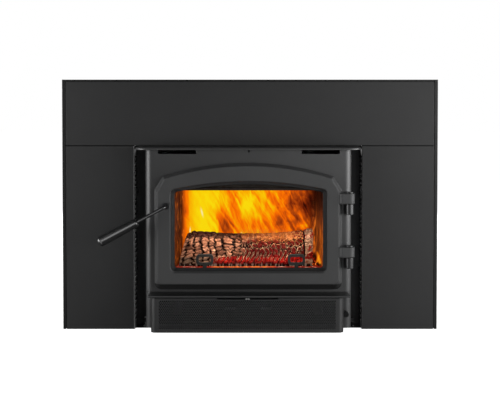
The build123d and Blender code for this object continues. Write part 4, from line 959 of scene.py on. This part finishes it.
    # thin at the sides and above, where the bricks show
    tr = k.node("ShaderNodeBsdfTransparent")
    sa, ta = k.attr("s"), k.attr("t")
    side = k.math("MULTIPLY", k.smooth(sa, 0.0, 0.042), k.smooth(sa, 1.0, 0.90))
    fade = k.math("MULTIPLY", side, k.smooth(ta, 1.0, 0.90))
    fade = k.math("MULTIPLY", fade, k.smooth(fire_glow, 0.0, 0.20))
    mx = k.node("ShaderNodeMixShader")
    k.put(mx.inputs[0], fade)
    k.put(mx.inputs[1], tr.outputs[0])
    k.put(mx.inputs[2], em.outputs[0])
    return k.done(mx.outputs[0])


back = flame_sheet("flame_back", -241, 231, 184, 478, -235, 16, 71)
back.data.materials.append(fire_back())
back.visible_diffuse = False
back.visible_glossy = False
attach(back, "root")


def tongue(name, foot, tip, d0, width, seed, n=46, m=18, lean=0.0):
    """One flame tongue as a thin curved leaf, wide at its foot and drawn out to a point."""
    t = np.linspace(0, 1, n)
    s = np.linspace(-1, 1, m)
    T, S = np.meshgrid(t, s, indexing="ij")
    fx, fz = foot
    tx, tz = tip
    w = width * (np.sin(np.clip(T * 1.15 + 0.12, 0, 1) * math.pi) ** 0.8) * (1 - T) ** 0.35
    cx = fx + (tx - fx) * T + 7 * (fbm(T * 3.0, T * 0 + seed, seed) - 0.5) * T
    X = cx + S * w / 2
    Z = fz + (tz - fz) * T
    D = d0 + 5 * (1 - S * S) + 9 * (fbm(T * 4.0, S * 1.5 + 3, seed + 2) - 0.5)
    verts = np.stack([X / 1000, FACE_Y - D / 1000, Z / 1000], -1).reshape(-1, 3)
    return mesh_object(name, verts, grid_faces(n, m), {"s": S.ravel(), "t": T.ravel()})


def tongue_material(name, stops, alpha, seed):
    k = Mat(name)
    s, t = k.attr("s"), k.attr("t")
    flow = k.noise(60.0, 4.0, 0.6, 0.5, vec=k.mapping(loc=(seed, 0, seed * 2), scale=(1, 1, 0.25)))
    core = k.math("SUBTRACT", 1.0, k.math("ABSOLUTE", s))
    fire_glow = k.math("ADD", k.math("MULTIPLY", core, 0.5), k.math("MULTIPLY", flow, 0.5))
    fire_glow = k.math("SUBTRACT", fire_glow, k.math("MULTIPLY", t, 0.15))
    em = k.node("ShaderNodeEmission")
    k.put(em.inputs["Color"], k.ramp(fire_glow, stops))
    tr = k.node("ShaderNodeBsdfTransparent")
    a = k.math("MULTIPLY", k.smooth(core, 0.0, 0.7), k.smooth(t, 1.0, 0.5))
    a = k.math("MULTIPLY", a, k.smooth(t, 0.0, 0.10))
    a = k.math("MULTIPLY", a, k.smooth(flow, 0.25, 0.65, 0.25 * alpha, alpha))
    mx = k.node("ShaderNodeMixShader")
    k.put(mx.inputs[0], a)
    k.put(mx.inputs[1], tr.outputs[0])
    k.put(mx.inputs[2], em.outputs[0])
    return k.done(mx.outputs[0])


ORANGE = [(0.15, (0.25, 0.02, 0.001)), (0.4, (0.85, 0.14, 0.003)), (0.7, (1.0, 0.36, 0.01)), (1.0, (1.0, 0.7, 0.2))]
om = tongue_material("flame_orange", ORANGE, 0.85, 3.0)
for i, (fp, tp, d, width) in enumerate((
        ((320.5, 264), (315.5, 246), 0.035, 22), ((317, 262), (320.5, 251), 0.030, 16))):
    fx, _, fz = at(fp[0], fp[1], d)
    tx, _, tz = at(tp[0], tp[1], d)
    tg = tongue("flame_tongue_%d" % (i + 1), (fx * 1000, fz * 1000), (tx * 1000, tz * 1000), d * 1000, width, 80 + i)
    tg.data.materials.append(om)
    tg.visible_diffuse = False
    tg.visible_glossy = False
    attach(tg, "root")


def haze_material():
    """Low flame that licks over the log's upper edge: soft, torn and half clear."""
    k = Mat("flame_haze")
    s, t = k.attr("s"), k.attr("t")
    flow = k.noise(70.0, 5.0, 0.62, 0.8, vec=k.mapping(loc=(2, 0, 4), scale=(1, 1, 0.40)))
    curl = k.noise(150.0, 4.0, 0.6, 1.0, vec=k.mapping(loc=(5, 0, 1), scale=(1, 1, 0.6)))
    fire_glow = k.math("ADD", k.math("MULTIPLY", flow, 0.6), k.math("MULTIPLY", curl, 0.4))
    colour = k.ramp(fire_glow, [(0.30, (0.26, 0.045, 0.010)), (0.45, (0.52, 0.12, 0.022)), (0.58, (0.80, 0.21, 0.040)),
                           (0.75, (0.92, 0.33, 0.085))])
    em = k.node("ShaderNodeEmission")
    k.put(em.inputs["Color"], colour)
    a = k.math("MULTIPLY", k.smooth(s, 0.0, 0.16), k.smooth(s, 1.0, 0.62))
    a = k.math("MULTIPLY", a, k.math("MULTIPLY", k.smooth(t, 0.0, 0.42), k.smooth(t, 1.0, 0.62)))
    a = k.math("MULTIPLY", a, k.smooth(fire_glow, 0.36, 0.60, 0.10, 0.62))
    tr = k.node("ShaderNodeBsdfTransparent")
    mx = k.node("ShaderNodeMixShader")
    k.put(mx.inputs[0], a)
    k.put(mx.inputs[1], tr.outputs[0])
    k.put(mx.inputs[2], em.outputs[0])
    return k.done(mx.outputs[0])


hx0, hx1 = at(236, 0, 0.033)[0] * 1000, at(306, 0, 0.033)[0] * 1000
hz0, hz1 = at(0, 242.5, 0.033)[2] * 1000, at(0, 227.5, 0.033)[2] * 1000
haze = flame_sheet("flame_haze_sheet", hx0, hx1, hz0, hz1, 33, 3, 91, 70, 26)
haze.data.materials.append(haze_material())
haze.visible_diffuse = False
haze.visible_glossy = False
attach(haze, "root")

# ------------------------------------------------------------------ lights
world = bpy.data.worlds.new("studio")
scene.world = world
world.use_nodes = True
wt = world.node_tree
wt.nodes.clear()
wo = wt.nodes.new("ShaderNodeOutputWorld")
lp = wt.nodes.new("ShaderNodeLightPath")
b1 = wt.nodes.new("ShaderNodeBackground")
b1.inputs[0].default_value = (1, 1, 1, 1)
b1.inputs[1].default_value = 0.02
b2 = wt.nodes.new("ShaderNodeBackground")
b2.inputs[0].default_value = (1, 1, 1, 1)
b2.inputs[1].default_value = 1.0
wm = wt.nodes.new("ShaderNodeMixShader")
wt.links.new(lp.outputs["Is Camera Ray"], wm.inputs[0])
wt.links.new(b1.outputs[0], wm.inputs[1])
wt.links.new(b2.outputs[0], wm.inputs[2])
wt.links.new(wm.outputs[0], wo.inputs[0])


def area(name, loc, target, size, power, color=(1, 1, 1), size_y=None):
    d = bpy.data.lights.new(name, "AREA")
    d.shape = "RECTANGLE" if size_y else "SQUARE"
    d.size = size
    if size_y:
        d.size_y = size_y
    d.energy = power
    d.color = color
    o = bpy.data.objects.new(name, d)
    o.location = loc
    o.rotation_euler = (Vector(target) - Vector(loc)).to_track_quat("-Z", "Y").to_euler()
    scene.collection.objects.link(o)
    return o


# soft boxes at camera height: two on the right, two on the left, and a smaller one in front on the right
area("side_right", (2.60, -0.55, 0.60), (0.25, -0.15, 0.38), 1.5, 29, size_y=1.5)
area("side_right_2", (2.33, -1.40, 0.60), (0.25, -0.18, 0.38), 1.4, 25, size_y=1.4)
area("side_left", (-2.60, -0.55, 0.60), (-0.25, -0.15, 0.38), 1.5, 18, size_y=1.5)
area("side_left_2", (-2.33, -1.40, 0.60), (-0.25, -0.18, 0.38), 1.4, 29, size_y=1.4)
area("front_right", (1.9, -2.3, 0.80), (0.2, -0.15, 0.42), 1.2, 16, size_y=1.2)
# a reflector card for the handle's highlight alone
card = area("handle_card", (-0.56, -1.25, 0.30), (-0.40, -0.26, 0.30), 0.80, 2.4, size_y=0.54)
only = bpy.data.collections.new("handle_card_receivers")
for name in ("handle_grip", "handle_rod"):
    only.objects.link(nodes[name])
card.light_linking.receiver_collection = only
# behind the object, for the views of its back; nothing of these reaches the front
area("front", (0.95, -3.5, 0.78), (0.0, -0.15, 0.40), 1.1, 8, size_y=0.8)
area("rear_left", (-1.9, 2.4, 1.30), (0.0, 0.30, 0.35), 1.5, 60)
area("rear_right", (1.9, 2.4, 1.10), (0.0, 0.30, 0.35), 1.5, 42)
lamp = area("fire", (0.0, FACE_Y - 0.086, 0.444), (0.0, FACE_Y - 0.010, 0.26), 0.38, 0.35, (1.0, 0.76, 0.58), size_y=0.02)
lamp.data.spread = math.radians(46)
low = area("fire_low", (0.0, FACE_Y + 0.17, 0.34), (0.0, FACE_Y + 0.3, 0.30), 0.30, 0.2, (1.0, 0.45, 0.15), size_y=0.12)
low.data.spread = math.radians(110)

# ------------------------------------------------------------------- floor
fm = Mat("floor_pale")
fl = fm.node("ShaderNodeLightPath").outputs["Is Camera Ray"]
pale = fm.ramp(fm.noise(2.0, 3.0, 0.5), [(0.3, (0.78, 0.78, 0.78)), (0.7, (0.82, 0.82, 0.82))])
fd = fm.bsdf(Base_Color=fm.mix(fl, (0.20, 0.20, 0.20), pale), Roughness=0.8, Emission_Color=(1, 1, 1), Emission_Strength=fl)
floor = mesh_object("floor", [(-40, -40, 0), (40, -40, 0), (40, 40, 0), (-40, 40, 0)], [(0, 1, 2, 3)], smooth=False)
floor.location.z = -0.0005
floor.data.materials.append(fm.done(fd))

bpy.context.view_layer.update()
